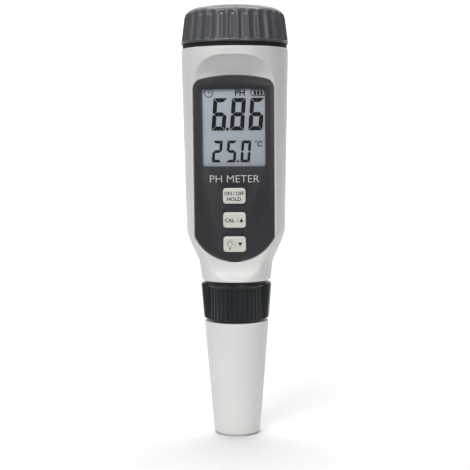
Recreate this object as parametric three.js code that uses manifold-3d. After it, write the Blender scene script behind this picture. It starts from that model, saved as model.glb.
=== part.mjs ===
// A pen-type pH meter, standing upright on its sensor cap.
// Millimetres, +Z up. The origin is the middle of the sensor cap's flat bottom,
// the display faces -Y and +X is to its right.

import * as THREE from "three";
import { mergeVertices } from "three/addons/utils/BufferGeometryUtils.js";
import Module from "manifold-3d";

const wasm = await Module();
wasm.setup();

// ---------------------------------------------------------------- driving dimensions

// Lengths along the axis, from the bottom up.
const SENSOR_CAP_LENGTH = 43.5;
const SENSOR_CAP_JOINT = 0.6;
const COLLAR_LENGTH = 14.1;
const COLLAR_JOINT = 1.1;
const HOUSING_LENGTH = 87;
const SEAL_THICKNESS = 1.6;
const BATTERY_CAP_HEIGHT = 14.3;

// Clearances.
const FIT = 0.3; // between pieces of the tilted front
const SLIP = 0.1; // between a piece that moves and the one it seats on
const SEAT = 0.05; // between still pieces on the axis

// Housing: a tapered round body with a shoulder down to a narrow throat.
const HOUSING_TOP_R = 20;
const HOUSING_BELLY_R = 18.65;
const THROAT_TOP_R = 13.95;
const THROAT_BOTTOM_R = 13.1;
const THROAT_LENGTH = 7;
const SHOULDER_LENGTH = 12.2;
const SHOULDER_FOOT_PULL = [0.14, 0.19]; // of its width and height, for the curve off the throat
const SHOULDER_HEAD_PULL = [0.1, 0.32];
const TOP_BAND_LENGTH = 5;
const HOUSING_EDGE = 0.5;
const HOUSING_WALL = 2;
const HOUSING_LIP = 2; // height of the inward lips that hold the two necks
const SHELL_GAP = 0.1; // parting line between the two shells

// The flat front, which leans so that it is deepest at the bottom.
const FLAT_TILT = THREE.MathUtils.degToRad(2.5);
const FLAT_DEPTH = 12.2; // from the axis to the flat, at the panel's origin
const PANEL_BELOW_TOP = 26.3; // the panel's origin below the housing's top
const TOP_COVE_R = 7;
const TOP_COVE_BELOW_TOP = 10.1;
const LOWER_COVE_R = 8.9;
const LOWER_COVE_ABOVE_BOTTOM = 7.5;
const LOWER_COVE_SWEEP = THREE.MathUtils.degToRad(64);
const FRONT_WALL = 1.8;

// The dark overlay in its pocket. Heights on the panel are measured from its origin.
const OVERLAY_HALF_WIDTH = 14.75;
const OVERLAY_TOP = 15.8;
const OVERLAY_TOP_R = 52;
const OVERLAY_TOP_CORNER_R = 3.5;
const OVERLAY_BOTTOM_R = 16.4;
const OVERLAY_BOTTOM_CORNER_R = 2;
const OVERLAY_ABOVE_BOTTOM = 7.7;
const OVERLAY_THICKNESS = 0.55;
const OVERLAY_RECESS = 0.25;
const POCKET_DEPTH = 1;

// Display.
const WINDOW_WIDTH = 23.3;
const WINDOW_HEIGHT = 28.45;
const WINDOW_CENTRE = -3.3;
const WINDOW_CORNER_R = 1;
const LCD_MARGIN = 1.3;
const LCD_THICKNESS = 2.2;
const BACKLIGHT_THICKNESS = 2;
const LCD_FRAME_RIM = 1;

// Keys.
const KEY_COUNT = 3;
const KEY_WIDTH = 8.5;
const KEY_HEIGHT = 5.85;
const KEY_CORNER_R = 1.2;
const KEY_PITCH = 9.05;
const KEY_BELOW_WINDOW = 11.05; // window's lower edge to the first key's centre
const KEY_PROUD = 0.6;
const KEY_FLANGE = 1.2;
const KEY_FLANGE_THICKNESS = 0.6;
const GASKET_THICKNESS = 0.6;
const SWITCH_SIZE = 6;
const SWITCH_BODY = 2;
const PLUNGER_R = 1.6;
const PLUNGER_LENGTH = 1.7;

// Circuit board.
const BOARD_FRONT = 7.6; // behind the flat
const BOARD_THICKNESS = 1;
const BOARD_WIDTH = 26;
const BOARD_TOP = 19.5;
const BOARD_SHOULDER = -38;
const BOARD_TAIL_WIDTH = 16;
const SCREW_R = 0.8;
const SCREW_HEAD_R = 1.7;
const SCREW_HEAD = 1.1;
const SCREW_LENGTH = 4;
const BOSS_R = 2;
const TOP_SCREW_X = 9;
const TOP_SCREW_HEIGHT = 16.4;
const LOWER_SCREW_X = 10.6;
const LOWER_SCREW_BELOW_WINDOW = 6;

// Battery end: a threaded neck, a round carrier with four button cells, a screw cap.
const BATTERY_CAP_OVERHANG = 0.15;
const BATTERY_CAP_TAPER = 0.9;
const BATTERY_CAP_WALL = 1.85;
const BATTERY_CAP_ROOF = 3.2;
const BATTERY_CAP_RIBS = 30;
const BATTERY_CAP_RIB_DEPTH = 0.5;
const BATTERY_CAP_BAND = 0.7;
const BATTERY_CAP_CROWN = 2.7;
const BATTERY_CAP_SHOULDER = 3.3;
const CAP_HUB_R = 6;
const BATTERY_THREAD_RISE = 2.5; // start of the thread above the housing
const BATTERY_THREAD_PITCH = 2.5;
const BATTERY_THREAD_TURNS = 1.5;
const BATTERY_THREAD_R = 0.6;
const THREAD_GAP = 0.9; // between a neck's wall and the bore around it
const NECK_WALL = 1.8;
const NECK_HEIGHT = 8.6; // above the housing
const NECK_FLOOR = 1.6;
const NECK_FLANGE = 1.4;
const CELL_R = 5.8;
const CELL_HEIGHT = 5.4;
const CELL_PITCH = 12.4;
const CARRIER_FLOOR = 0.6;
const CONTACT_THICKNESS = 0.3;
const DISC_THICKNESS = 1.5;
const DISC_PIN_R = 1.6;
const CLIP_R = 2.6;
const CLIP_THICKNESS = 0.4;
const LEAD_R = 0.5;
const LEAD_DROP = 8;

// Collar that holds the electrode module, and the module.
const COLLAR_DRUM_R = 11.2;
const COLLAR_RIM_R = 11.55;
const COLLAR_RIBS = 40;
const LUG_BOTTOM_R = 12.45;
const LUG_TOP_R = 13.4;
const LUG_HALF_WIDTH = 4;
const LUG_INSET = 0.4; // the lugs' lower ends above the collar's
const LUG_EDGE = 0.8;
const COLLAR_RIB_DEPTH = 0.35;
const COLLAR_RIM = 1.2;
const COLLAR_BORE_R = 9.9;
const COLLAR_LIP = 1.5;
const COLLAR_THREAD_PITCH = 2;
const COLLAR_THREAD_TURNS = 2;
const COLLAR_THREAD_R = 0.45;
const LOWER_NECK_WALL = 1.25;
const LOWER_NECK_FLANGE = 1.6;
const LOWER_NECK_DISC_R = 11.6;
const MODULE_FLANGE = 1.5;
const MODULE_SPIGOT = 10.2; // length of the plug above the flange
const MODULE_SEAT_R = 8.6;
const MODULE_SEAT_LENGTH = 11.2; // from the flange down to the guard
const CAP_SEAL_R = 0.85;
const MODULE_SEAL_R = 0.7;
const SEAL_SQUEEZE = 0.07;
const GUARD_R = 6.6;
const GUARD_WALL = 1.1;
const GUARD_LENGTH = 24.8;
const GUARD_SLOT_WIDTH = 3.2;
const GUARD_SLOT_LENGTH = 14;
const BULB_R = 3.9;
const BULB_ABOVE_GUARD = 5.7; // bulb's centre above the guard's lower edge
const STEM_R = 3;
const GLASS_WALL = 0.6;
const STEM_DEPTH = 8; // how far the stem runs up into the module
const WIRE_R = 0.4;
const PIN_OFFSET = 4.3;
const JUNCTION_R = 0.8;
const JUNCTION_LENGTH = 8;
const THERMO_R = 0.8;
const THERMO_LENGTH = 18;
const PIN_DEPTH = 4; // how far both pins run up into the module
const PLUG_WIDTH = 8;
const PLUG_THICKNESS = 1;
const PLUG_LENGTH = 9;
const PLUG_DEPTH = 3; // how far the plug board is set into the module
const SOCKET_BEHIND_BOARD = 0.8;
const SOCKET_WALL = 1.2;
const SOCKET_HEIGHT = 6;
const SOCKET_GRIP = 3.5; // how far the plug board reaches into the socket

// Sensor cap and the sponge that keeps the bulb wet.
const SENSOR_CAP_TOP_R = 12.2;
const SENSOR_CAP_BOTTOM_R = 8.75;
const SENSOR_CAP_BELLY = 0.1; // outward bow of its side
const SENSOR_CAP_EDGE = 1;
const SENSOR_CAP_WALL = 1.6;
const SENSOR_CAP_SEAT_DEPTH = 8.5; // of the bore that grips the seal
const SENSOR_CAP_CLEARANCE = 0.27;
const SPONGE_THICKNESS = 4;

// ---------------------------------------------------------------- stations on the axis

const COLLAR_Z = SENSOR_CAP_LENGTH + SENSOR_CAP_JOINT;
const COLLAR_TOP = COLLAR_Z + COLLAR_LENGTH;
const HOUSING_Z = COLLAR_TOP + COLLAR_JOINT;
const HOUSING_TOP = HOUSING_Z + HOUSING_LENGTH;
const BATTERY_CAP_Z = HOUSING_TOP + SEAL_THICKNESS;
const TOTAL_HEIGHT = BATTERY_CAP_Z + BATTERY_CAP_HEIGHT;
const PANEL_Z = HOUSING_TOP - PANEL_BELOW_TOP;
const FLANGE_Z = COLLAR_Z + COLLAR_LIP + SLIP;
const FLANGE_TOP = FLANGE_Z + MODULE_FLANGE;
const MODULE_Z = FLANGE_Z - MODULE_SEAT_LENGTH;
const GUARD_Z = MODULE_Z - SLIP - GUARD_LENGTH;
const PLUG_TOP = FLANGE_TOP + MODULE_SPIGOT - PLUG_DEPTH + PLUG_LENGTH;
const TAIL_Z = HOUSING_Z + HOUSING_LIP + LOWER_NECK_FLANGE + 1.2;

// The plug board stands just behind the lower end of the leaning circuit board.
const TAIL_BACK = (BOARD_FRONT + BOARD_THICKNESS) / Math.cos(FLAT_TILT)
  - FLAT_DEPTH - (TAIL_Z - PANEL_Z) * Math.tan(FLAT_TILT);
const PLUG_Y = TAIL_BACK + SOCKET_BEHIND_BOARD + SOCKET_WALL + FIT + PLUG_THICKNESS / 2;

// ---------------------------------------------------------------- tools

const ROUND = 32; // sides of the big round pieces
const FINE = 12; // sides of the small ones
const WELD = 1e-4;

// Makes a closed geometry into a solid with its faces pointing out.
function solid(geometry) {
  const bare = geometry.clone();
  bare.deleteAttribute("normal");
  bare.deleteAttribute("uv");
  const welded = mergeVertices(bare, WELD);
  const points = welded.attributes.position;
  const corner = (i) => new THREE.Vector3().fromBufferAttribute(points, i);
  const triangles = [];
  let volume = 0;
  for (let i = 0; i < welded.index.count; i += 3) {
    const [a, b, c] = [0, 1, 2].map((k) => welded.index.getX(i + k));
    if (a === b || b === c || c === a) continue;
    triangles.push([a, b, c]);
    volume += corner(a).dot(corner(b).cross(corner(c)));
  }
  const outward = volume < 0 ? triangles.map(([a, b, c]) => [a, c, b]) : triangles;
  return new wasm.Manifold(new wasm.Mesh({
    numProp: 3,
    vertProperties: new Float32Array(points.array),
    triVerts: new Uint32Array(outward.flat()),
  }));
}

// Gives a solid back as a geometry that three.js can show.
function geometryOf(body) {
  const mesh = body.getMesh();
  const geometry = new THREE.BufferGeometry();
  geometry.setAttribute("position", new THREE.BufferAttribute(mesh.vertProperties, 3));
  geometry.setIndex(new THREE.BufferAttribute(mesh.triVerts, 1));
  geometry.computeVertexNormals();
  return geometry;
}

const joined = (...bodies) => bodies.reduce((a, b) => a.add(b));
const cut = (body, ...tools) => tools.reduce((a, b) => a.subtract(b), body);

// Turns a profile of [radius, height] points about the axis.
function revolvedGeometry(profile, sides = ROUND) {
  const points = profile.map(([r, z]) => new THREE.Vector2(r, z));
  if (points[0].x > 0) points.push(points[0].clone());
  return new THREE.LatheGeometry(points, sides).rotateX(Math.PI / 2);
}

const revolved = (profile, sides) => solid(revolvedGeometry(profile, sides));

// A tube between two heights, or a plain disc when it has no bore.
function ring(outer, inner, bottom, top, sides = ROUND) {
  return revolved([[inner, bottom], [outer, bottom], [outer, top], [inner, top]], sides);
}

// An upright rod.
function rod(radius, bottom, top, x = 0, y = 0, sides = FINE) {
  const geometry = new THREE.CylinderGeometry(radius, radius, top - bottom, sides);
  return solid(geometry.rotateX(Math.PI / 2).translate(x, y, (bottom + top) / 2));
}

// A box between two corners.
function box([x0, x1], [y0, y1], [z0, z1]) {
  const geometry = new THREE.BoxGeometry(x1 - x0, y1 - y0, z1 - z0);
  return solid(geometry.translate((x0 + x1) / 2, (y0 + y1) / 2, (z0 + z1) / 2));
}

// A rectangle with rounded corners, about (0, height).
function roundedRectangle(width, tall, radius, height = 0) {
  const [x, y, r] = [width / 2, tall / 2, radius];
  const shape = new THREE.Shape();
  shape.absarc(x - r, height + y - r, r, 0, Math.PI / 2);
  shape.absarc(r - x, height + y - r, r, Math.PI / 2, Math.PI);
  shape.absarc(r - x, height + r - y, r, Math.PI, 1.5 * Math.PI);
  shape.absarc(x - r, height + r - y, r, 1.5 * Math.PI, 2 * Math.PI);
  shape.closePath();
  return shape;
}

// A plate drawn on the panel (x, height) that runs from one depth behind the flat to another.
function plateGeometry(shape, front, back, curveSegments = 1) {
  const options = { depth: back - front, bevelEnabled: false, curveSegments };
  return new THREE.ExtrudeGeometry(shape, options).rotateX(Math.PI / 2).translate(0, back, 0);
}

const plate = (...drawing) => solid(plateGeometry(...drawing));

// A peg at right angles to the panel.
function pegGeometry(radius, front, back, x, height, sides = FINE) {
  const geometry = new THREE.CylinderGeometry(radius, radius, back - front, sides);
  return geometry.translate(x, (front + back) / 2, height);
}

const peg = (...drawing) => solid(pegGeometry(...drawing));

// A right-handed helix about the axis.
class Helix extends THREE.Curve {
  constructor(radius, start, pitch, turns) {
    super();
    Object.assign(this, { radius, start, pitch, turns });
  }

  getPoint(t, target = new THREE.Vector3()) {
    const angle = 2 * Math.PI * this.turns * t;
    const height = this.start + this.pitch * this.turns * t;
    return target.set(this.radius * Math.cos(angle), this.radius * Math.sin(angle), height);
  }
}

// A tube with a round section along a curve.
function tube(curve, radius, steps, sides = 4) {
  const section = new THREE.Shape();
  section.absarc(0, 0, radius, 0, 2 * Math.PI);
  const options = { steps, extrudePath: curve, curveSegments: sides / 2, bevelEnabled: false };
  return solid(new THREE.ExtrudeGeometry(section, options));
}

const THREAD_STEPS = 12; // per turn

// The ridge of a thread on the outside of a neck.
const thread = (radius, section, start, pitch, turns) =>
  tube(new Helix(radius, start, pitch, turns), section, Math.round(THREAD_STEPS * turns));

// The ridge of a thread in a bore, set out so that its straight steps don't reach inwards.
const innerThread = (radius, ...rest) => thread(radius / Math.cos(Math.PI / THREAD_STEPS), ...rest);

// Pulls every second side of a turned piece inwards, which makes upright V-shaped ribs.
function ribbed(profile, ribs, depth, bottom, top) {
  const geometry = revolvedGeometry(profile, 2 * ribs);
  const points = geometry.attributes.position;
  for (let i = 0; i < points.count; i += 1) {
    const [x, y, z] = [points.getX(i), points.getY(i), points.getZ(i)];
    const side = Math.round(Math.atan2(y, x) / (Math.PI / ribs));
    const radius = Math.hypot(x, y);
    if (side % 2 === 0 || z < bottom || z > top || radius === 0) continue;
    points.setXY(i, x * (radius - depth) / radius, y * (radius - depth) / radius);
  }
  return solid(geometry);
}

// ---------------------------------------------------------------- finishes

const finish = (color, roughness, metalness = 0) =>
  new THREE.MeshStandardMaterial({ color, roughness, metalness });

const lightPlastic = () => finish("#cfcfcd", 0.45);
const darkPlastic = () => finish("#4c4d51", 0.42);
const blackPlastic = () => finish("#2b2c2f", 0.5);
const overlayFilm = () => finish("#393a3f", 0.4);
const rubber = () => finish("#17181a", 0.7);
const keyPlastic = () => finish("#d0d0ca", 0.5);
const clearPlastic = () => finish("#dfe6ea", 0.05);
const lcdGlass = () => finish("#afb8c1", 0.2);
const whitePlastic = () => finish("#eceae4", 0.5);
const boardLaminate = () => finish("#2c6b45", 0.4);
const chipResin = () => finish("#1d1d1f", 0.6);
const glass = () => finish("#d8e4e4", 0.05);
const ceramic = () => finish("#efece2", 0.8);
const foam = () => finish("#e6dfc4", 0.95);
const steel = () => finish("#b9bcc0", 0.3, 1);
const brass = () => finish("#b89a58", 0.3, 1);
const silver = () => finish("#cfcfd0", 0.25, 1);

// ---------------------------------------------------------------- housing

const panelFrame = new THREE.Matrix4()
  .makeTranslation(0, -FLAT_DEPTH, PANEL_Z)
  .multiply(new THREE.Matrix4().makeRotationX(FLAT_TILT));

// Puts a geometry drawn on the panel where the panel is, to cut or join it there.
const onPanel = (geometry) => solid(geometry.applyMatrix4(panelFrame));

const POCKET_MARGIN = 0.35;
const BEYOND = 40; // past the outside of every piece
const panelHeight = (z) => (z - PANEL_Z) / Math.cos(FLAT_TILT);
const flatDepthAt = (z) => FLAT_DEPTH + (z - PANEL_Z) * Math.tan(FLAT_TILT);

// The outline of the body of revolution, moved inwards by a wall.
function housingOutline(inset) {
  const throat = HOUSING_Z + THROAT_LENGTH;
  const belly = throat + SHOULDER_LENGTH;
  const rise = HOUSING_BELLY_R - THROAT_TOP_R;
  const [footOut, footUp] = SHOULDER_FOOT_PULL;
  const [headIn, headDown] = SHOULDER_HEAD_PULL;
  const shoulder = new THREE.CubicBezierCurve(
    new THREE.Vector2(THROAT_TOP_R, throat),
    new THREE.Vector2(THROAT_TOP_R + footOut * rise, throat + footUp * SHOULDER_LENGTH),
    new THREE.Vector2(HOUSING_BELLY_R - headIn * rise, belly - headDown * SHOULDER_LENGTH),
    new THREE.Vector2(HOUSING_BELLY_R, belly),
  );
  return [
    [THROAT_BOTTOM_R - inset, HOUSING_Z],
    ...shoulder.getPoints(6).map((p) => [p.x - inset, p.y]),
    [HOUSING_TOP_R - inset, HOUSING_TOP - TOP_BAND_LENGTH],
  ];
}

// Everything in front of the flat and its two coves, moved inwards by a wall.
function frontBlock(inset) {
  const top = HOUSING_TOP - TOP_COVE_BELOW_TOP;
  const bottom = HOUSING_Z + LOWER_COVE_ABOVE_BOTTOM;
  const section = new THREE.Shape();
  section.moveTo(-BEYOND, top + TOP_COVE_R);
  section.lineTo(-BEYOND, bottom - LOWER_COVE_R * Math.sin(LOWER_COVE_SWEEP));
  const lowerCentre = inset - flatDepthAt(bottom) - LOWER_COVE_R;
  section.absarc(lowerCentre, bottom, LOWER_COVE_R, -LOWER_COVE_SWEEP, 0);
  section.absarc(inset - flatDepthAt(top) - TOP_COVE_R, top, TOP_COVE_R, 0, Math.PI / 2);
  section.closePath();
  const options = { depth: 2 * BEYOND, bevelEnabled: false, curveSegments: 3 };
  const geometry = new THREE.ExtrudeGeometry(section, options);
  return solid(geometry.rotateX(Math.PI / 2).rotateZ(Math.PI / 2).translate(-BEYOND, 0, 0));
}

// The overlay's outline: an arched top, straight sides and a round bottom.
function overlayShape(grow) {
  const half = OVERLAY_HALF_WIDTH;
  const bottom = panelHeight(HOUSING_Z + OVERLAY_ABOVE_BOTTOM);
  const arch = OVERLAY_TOP - OVERLAY_TOP_R;
  const bowl = bottom + OVERLAY_BOTTOM_R;
  const topX = half - OVERLAY_TOP_CORNER_R;
  const topY = arch + Math.sqrt((OVERLAY_TOP_R - OVERLAY_TOP_CORNER_R) ** 2 - topX ** 2);
  const lowX = half - OVERLAY_BOTTOM_CORNER_R;
  const lowY = bowl - Math.sqrt((OVERLAY_BOTTOM_R - OVERLAY_BOTTOM_CORNER_R) ** 2 - lowX ** 2);
  const topTurn = Math.atan2(topY - arch, topX);
  const lowTurn = Math.atan2(lowY - bowl, lowX);
  const shape = new THREE.Shape();
  shape.absarc(topX, topY, OVERLAY_TOP_CORNER_R + grow, 0, topTurn);
  shape.absarc(0, arch, OVERLAY_TOP_R + grow, topTurn, Math.PI - topTurn);
  shape.absarc(-topX, topY, OVERLAY_TOP_CORNER_R + grow, Math.PI - topTurn, Math.PI);
  shape.absarc(-lowX, lowY, OVERLAY_BOTTOM_CORNER_R + grow, Math.PI, Math.PI - lowTurn);
  shape.absarc(0, bowl, OVERLAY_BOTTOM_R + grow, Math.PI - lowTurn, 2 * Math.PI + lowTurn);
  shape.absarc(lowX, lowY, OVERLAY_BOTTOM_CORNER_R + grow, lowTurn, 0);
  shape.closePath();
  return shape;
}

const windowShape = (grow) => roundedRectangle(
  WINDOW_WIDTH + 2 * grow, WINDOW_HEIGHT + 2 * grow, WINDOW_CORNER_R + Math.max(grow, 0), WINDOW_CENTRE,
);
const keyHeight = (index) =>
  WINDOW_CENTRE - WINDOW_HEIGHT / 2 - KEY_BELOW_WINDOW - index * KEY_PITCH;
const keyShape = (index, grow) => roundedRectangle(
  KEY_WIDTH + 2 * grow, KEY_HEIGHT + 2 * grow, KEY_CORNER_R + grow, keyHeight(index),
);
const keyIndexes = [...Array(KEY_COUNT).keys()];
const lowerScrewHeight = WINDOW_CENTRE - WINDOW_HEIGHT / 2 - LOWER_SCREW_BELOW_WINDOW;
const screwPlaces = [
  [-TOP_SCREW_X, TOP_SCREW_HEIGHT],
  [TOP_SCREW_X, TOP_SCREW_HEIGHT],
  [-LOWER_SCREW_X, lowerScrewHeight],
  [LOWER_SCREW_X, lowerScrewHeight],
];
const wallBack = POCKET_DEPTH + FRONT_WALL;

const CAP_BORE_R = HOUSING_TOP_R + BATTERY_CAP_OVERHANG - BATTERY_CAP_WALL;
const NECK_R = CAP_BORE_R - THREAD_GAP;
const NECK_WAIST_R = NECK_R - 0.6;
const NECK_LIP = 1.2;
const LOWER_NECK_R = COLLAR_BORE_R - 0.85;
const LOWER_WAIST_R = LOWER_NECK_R - 0.3;
const LOWER_NECK_BORE_R = LOWER_NECK_R - LOWER_NECK_WALL;

// Both shells in one, before they are parted.
function wholeHousing() {
  const outside = housingOutline(0);
  const inside = housingOutline(HOUSING_WALL).slice(1);
  const throatR = THROAT_BOTTOM_R - HOUSING_WALL;
  const body = revolved([
    [0, HOUSING_Z],
    ...outside,
    [HOUSING_TOP_R, HOUSING_TOP - HOUSING_EDGE],
    [HOUSING_TOP_R - HOUSING_EDGE, HOUSING_TOP],
    [0, HOUSING_TOP],
  ]);
  const hollow = revolved([
    [0, HOUSING_Z + HOUSING_LIP],
    [throatR + 0.2, HOUSING_Z + HOUSING_LIP],
    ...inside,
    [HOUSING_TOP_R - HOUSING_WALL, HOUSING_TOP - NECK_LIP],
    [0, HOUSING_TOP - NECK_LIP],
  ]);
  const holes = keyIndexes.map((i) => onPanel(plateGeometry(keyShape(i, FIT), 0, wallBack + 1)));
  const bosses = screwPlaces.map(([x, y]) =>
    onPanel(pegGeometry(BOSS_R, wallBack - 1, BOARD_FRONT - FIT, x, y, 10)));
  const threads = screwPlaces.map(([x, y]) =>
    onPanel(pegGeometry(SCREW_R + FIT / 2, wallBack, BOARD_FRONT, x, y, 8)));
  const shell = cut(
    body,
    frontBlock(0),
    cut(hollow, frontBlock(wallBack)),
    rod(LOWER_WAIST_R + SEAT, HOUSING_Z - 1, HOUSING_Z + HOUSING_LIP + 1, 0, 0, ROUND),
    rod(NECK_WAIST_R + SEAT, HOUSING_TOP - NECK_LIP - 1, HOUSING_TOP + 1, 0, 0, ROUND),
    onPanel(plateGeometry(overlayShape(POCKET_MARGIN), -3, POCKET_DEPTH, 5)),
    onPanel(plateGeometry(windowShape(LCD_MARGIN + FIT), 0, wallBack + 1)),
    ...holes,
  );
  return cut(joined(shell, ...bosses), ...threads);
}

function halfSpace(side) {
  const span = side < 0 ? [-BEYOND, -SHELL_GAP / 2] : [SHELL_GAP / 2, BEYOND];
  return box([-BEYOND, BEYOND], span, [0, TOTAL_HEIGHT]);
}

const model = new THREE.Group();
const panel = new THREE.Group();
panel.applyMatrix4(panelFrame);
model.add(panel);

function add(name, body, material, parent = model) {
  const mesh = new THREE.Mesh(geometryOf(body), material);
  mesh.name = name;
  parent.add(mesh);
  return mesh;
}

function addHousing() {
  const housing = wholeHousing();
  add("front_housing", housing.intersect(halfSpace(-1)), lightPlastic());
  add("rear_housing", housing.intersect(halfSpace(1)), lightPlastic());
}

// ---------------------------------------------------------------- display and board

const lcdFront = POCKET_DEPTH;
const lcdBack = lcdFront + LCD_THICKNESS;
const lightFront = lcdBack + FIT;
const boardNear = BOARD_FRONT - FIT; // where pieces on the board's front end
const boardBack = BOARD_FRONT + BOARD_THICKNESS;
const STRIP_HEIGHT = 1.6;
const STRIP_INSET = 2.4;
const LIGHT_INSET = 1;

function addOverlay() {
  const front = OVERLAY_RECESS;
  const back = OVERLAY_RECESS + OVERLAY_THICKNESS;
  const film = plate(overlayShape(0), front, back, 5);
  const holes = keyIndexes.map((i) => plate(keyShape(i, FIT), front - 1, back + 1));
  const window = plate(windowShape(0), front - 1, back + 1);
  add("front_overlay", cut(film, window, ...holes), overlayFilm(), panel);
  add("display_window", plate(windowShape(-SEAT), front, back), clearPlastic(), panel);
}

function addDisplay() {
  add("lcd_glass", plate(windowShape(LCD_MARGIN), lcdFront, lcdBack), lcdGlass(), panel);
  const bottom = WINDOW_CENTRE - WINDOW_HEIGHT / 2 - LCD_MARGIN;
  const stripY = bottom + STRIP_INSET - STRIP_HEIGHT / 2;
  const lightBottom = bottom + STRIP_INSET + STRIP_HEIGHT / 2 + FIT;
  const lightTop = WINDOW_CENTRE + WINDOW_HEIGHT / 2 + LCD_MARGIN - LIGHT_INSET;
  const lightWidth = WINDOW_WIDTH + 2 * LCD_MARGIN - 2 * LIGHT_INSET;
  const light = roundedRectangle(lightWidth, lightTop - lightBottom, 1, (lightTop + lightBottom) / 2);
  add("backlight_panel", plate(light, lightFront, lightFront + BACKLIGHT_THICKNESS), whitePlastic(), panel);
  const strip = box(
    [1 - lightWidth / 2, lightWidth / 2 - 1],
    [lcdBack + SLIP, BOARD_FRONT - SLIP],
    [stripY, stripY + STRIP_HEIGHT],
  );
  add("zebra_strip", strip, rubber(), panel);
  const rim = plate(windowShape(LCD_MARGIN + LCD_FRAME_RIM), lightFront, boardNear);
  const opening = plate(windowShape(LCD_MARGIN - LIGHT_INSET + FIT), lightFront - 1, boardNear + 1);
  add("lcd_frame", cut(rim, opening), blackPlastic(), panel);
}

function boardShape() {
  const half = BOARD_WIDTH / 2;
  const tail = BOARD_TAIL_WIDTH / 2;
  const bottom = panelHeight(TAIL_Z);
  const shape = new THREE.Shape();
  shape.moveTo(-half, BOARD_TOP);
  shape.lineTo(-half, BOARD_SHOULDER);
  shape.lineTo(-tail, BOARD_SHOULDER - (half - tail));
  shape.lineTo(-tail, bottom);
  shape.lineTo(tail, bottom);
  shape.lineTo(tail, BOARD_SHOULDER - (half - tail));
  shape.lineTo(half, BOARD_SHOULDER);
  shape.lineTo(half, BOARD_TOP);
  shape.closePath();
  return shape;
}

function addBoard() {
  const holes = screwPlaces.map(([x, y]) =>
    peg(SCREW_R + FIT, BOARD_FRONT - 1, boardBack + 1, x, y, 12));
  const board = plate(boardShape(), BOARD_FRONT, boardBack);
  add("circuit_board", cut(board, ...holes), boardLaminate(), panel);
  const chip = (name, width, tall, thick, x, y, material) => {
    const back = boardBack + SLIP;
    const body = box([x - width / 2, x + width / 2], [back, back + thick], [y - tall / 2, y + tall / 2]);
    add(name, body, material, panel);
  };
  chip("controller_chip", 10, 10, 1.4, 0, -6, chipResin());
  chip("amplifier_chip", 5, 4, 1.5, 0, BOARD_SHOULDER - 2, chipResin());
  chip("crystal_can", 3.6, 9, 3, 8.5, -6, steel());
  screwPlaces.forEach(([x, y], index) => {
    const head = peg(SCREW_HEAD_R, boardBack + SLIP, boardBack + SLIP + SCREW_HEAD, x, y, 16);
    const slot = box([x - 0.25, x + 0.25], [boardBack + SCREW_HEAD - 0.4, boardBack + 3], [y - 1.2, y + 1.2]);
    const shank = peg(SCREW_R, BOARD_FRONT - SCREW_LENGTH, boardBack + 0.5, x, y, 12);
    add(`board_screw_${index + 1}`, cut(joined(head, shank), slot), steel(), panel);
  });
}

// ---------------------------------------------------------------- keys

const gasketFront = wallBack + FIT;
const flangeFront = gasketFront + GASKET_THICKNESS + FIT;
const flangeBack = flangeFront + KEY_FLANGE_THICKNESS;
const switchFront = boardNear - SWITCH_BODY;
const plungerFront = flangeBack + SLIP;
const GASKET_MARGIN = 2.4;
const SWITCH_FLOOR = 0.3;
const KEY_NAMES = ["power", "calibrate", "light"];

function addKeys() {
  const middle = keyHeight((KEY_COUNT - 1) / 2);
  const tall = KEY_HEIGHT + (KEY_COUNT - 1) * KEY_PITCH + 2 * GASKET_MARGIN;
  const outline = roundedRectangle(KEY_WIDTH + 2 * GASKET_MARGIN, tall, 2, middle);
  const gasket = plate(outline, gasketFront, gasketFront + GASKET_THICKNESS);
  const holes = keyIndexes.map((i) => plate(keyShape(i, FIT), gasketFront - 1, flangeFront));
  add("keypad_gasket", cut(gasket, ...holes), rubber(), panel);
  keyIndexes.forEach((i) => {
    const height = keyHeight(i);
    const stem = plate(keyShape(i, 0), -KEY_PROUD, flangeBack);
    const flange = plate(keyShape(i, KEY_FLANGE), flangeFront, flangeBack);
    add(`key_${KEY_NAMES[i]}`, joined(stem, flange), keyPlastic(), panel);
    const half = SWITCH_SIZE / 2;
    const body = box([-half, half], [switchFront, boardNear], [height - half, height + half]);
    const well = peg(PLUNGER_R + FIT / 2, switchFront - 1, boardNear - SWITCH_FLOOR, 0, height);
    add(`key_switch_${i + 1}`, cut(body, well), blackPlastic(), panel);
    const plunger = peg(PLUNGER_R, plungerFront, plungerFront + PLUNGER_LENGTH, 0, height);
    add(`switch_plunger_${i + 1}`, plunger, whitePlastic(), panel);
  });
}

// ---------------------------------------------------------------- battery end

const ceiling = TOTAL_HEIGHT - BATTERY_CAP_ROOF;
const neckBoreR = NECK_R - NECK_WALL;
const contactBottom = HOUSING_TOP + NECK_FLOOR + SEAT;
const carrierBottom = contactBottom + CONTACT_THICKNESS + SEAT;
const cellBottom = carrierBottom + CARRIER_FLOOR + SEAT;
const cellTop = cellBottom + CELL_HEIGHT;
const stripBottom = cellTop + SLIP;
const discBottom = stripBottom + CONTACT_THICKNESS + SEAT;
const cellPlaces = [[1, 1], [1, -1], [-1, -1], [-1, 1]].map(([x, y]) =>
  [x * CELL_PITCH / 2, y * CELL_PITCH / 2]);
const leadPlaces = [cellPlaces[0], cellPlaces[3]];
const LEAD_HOLE = 0.4;

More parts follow.
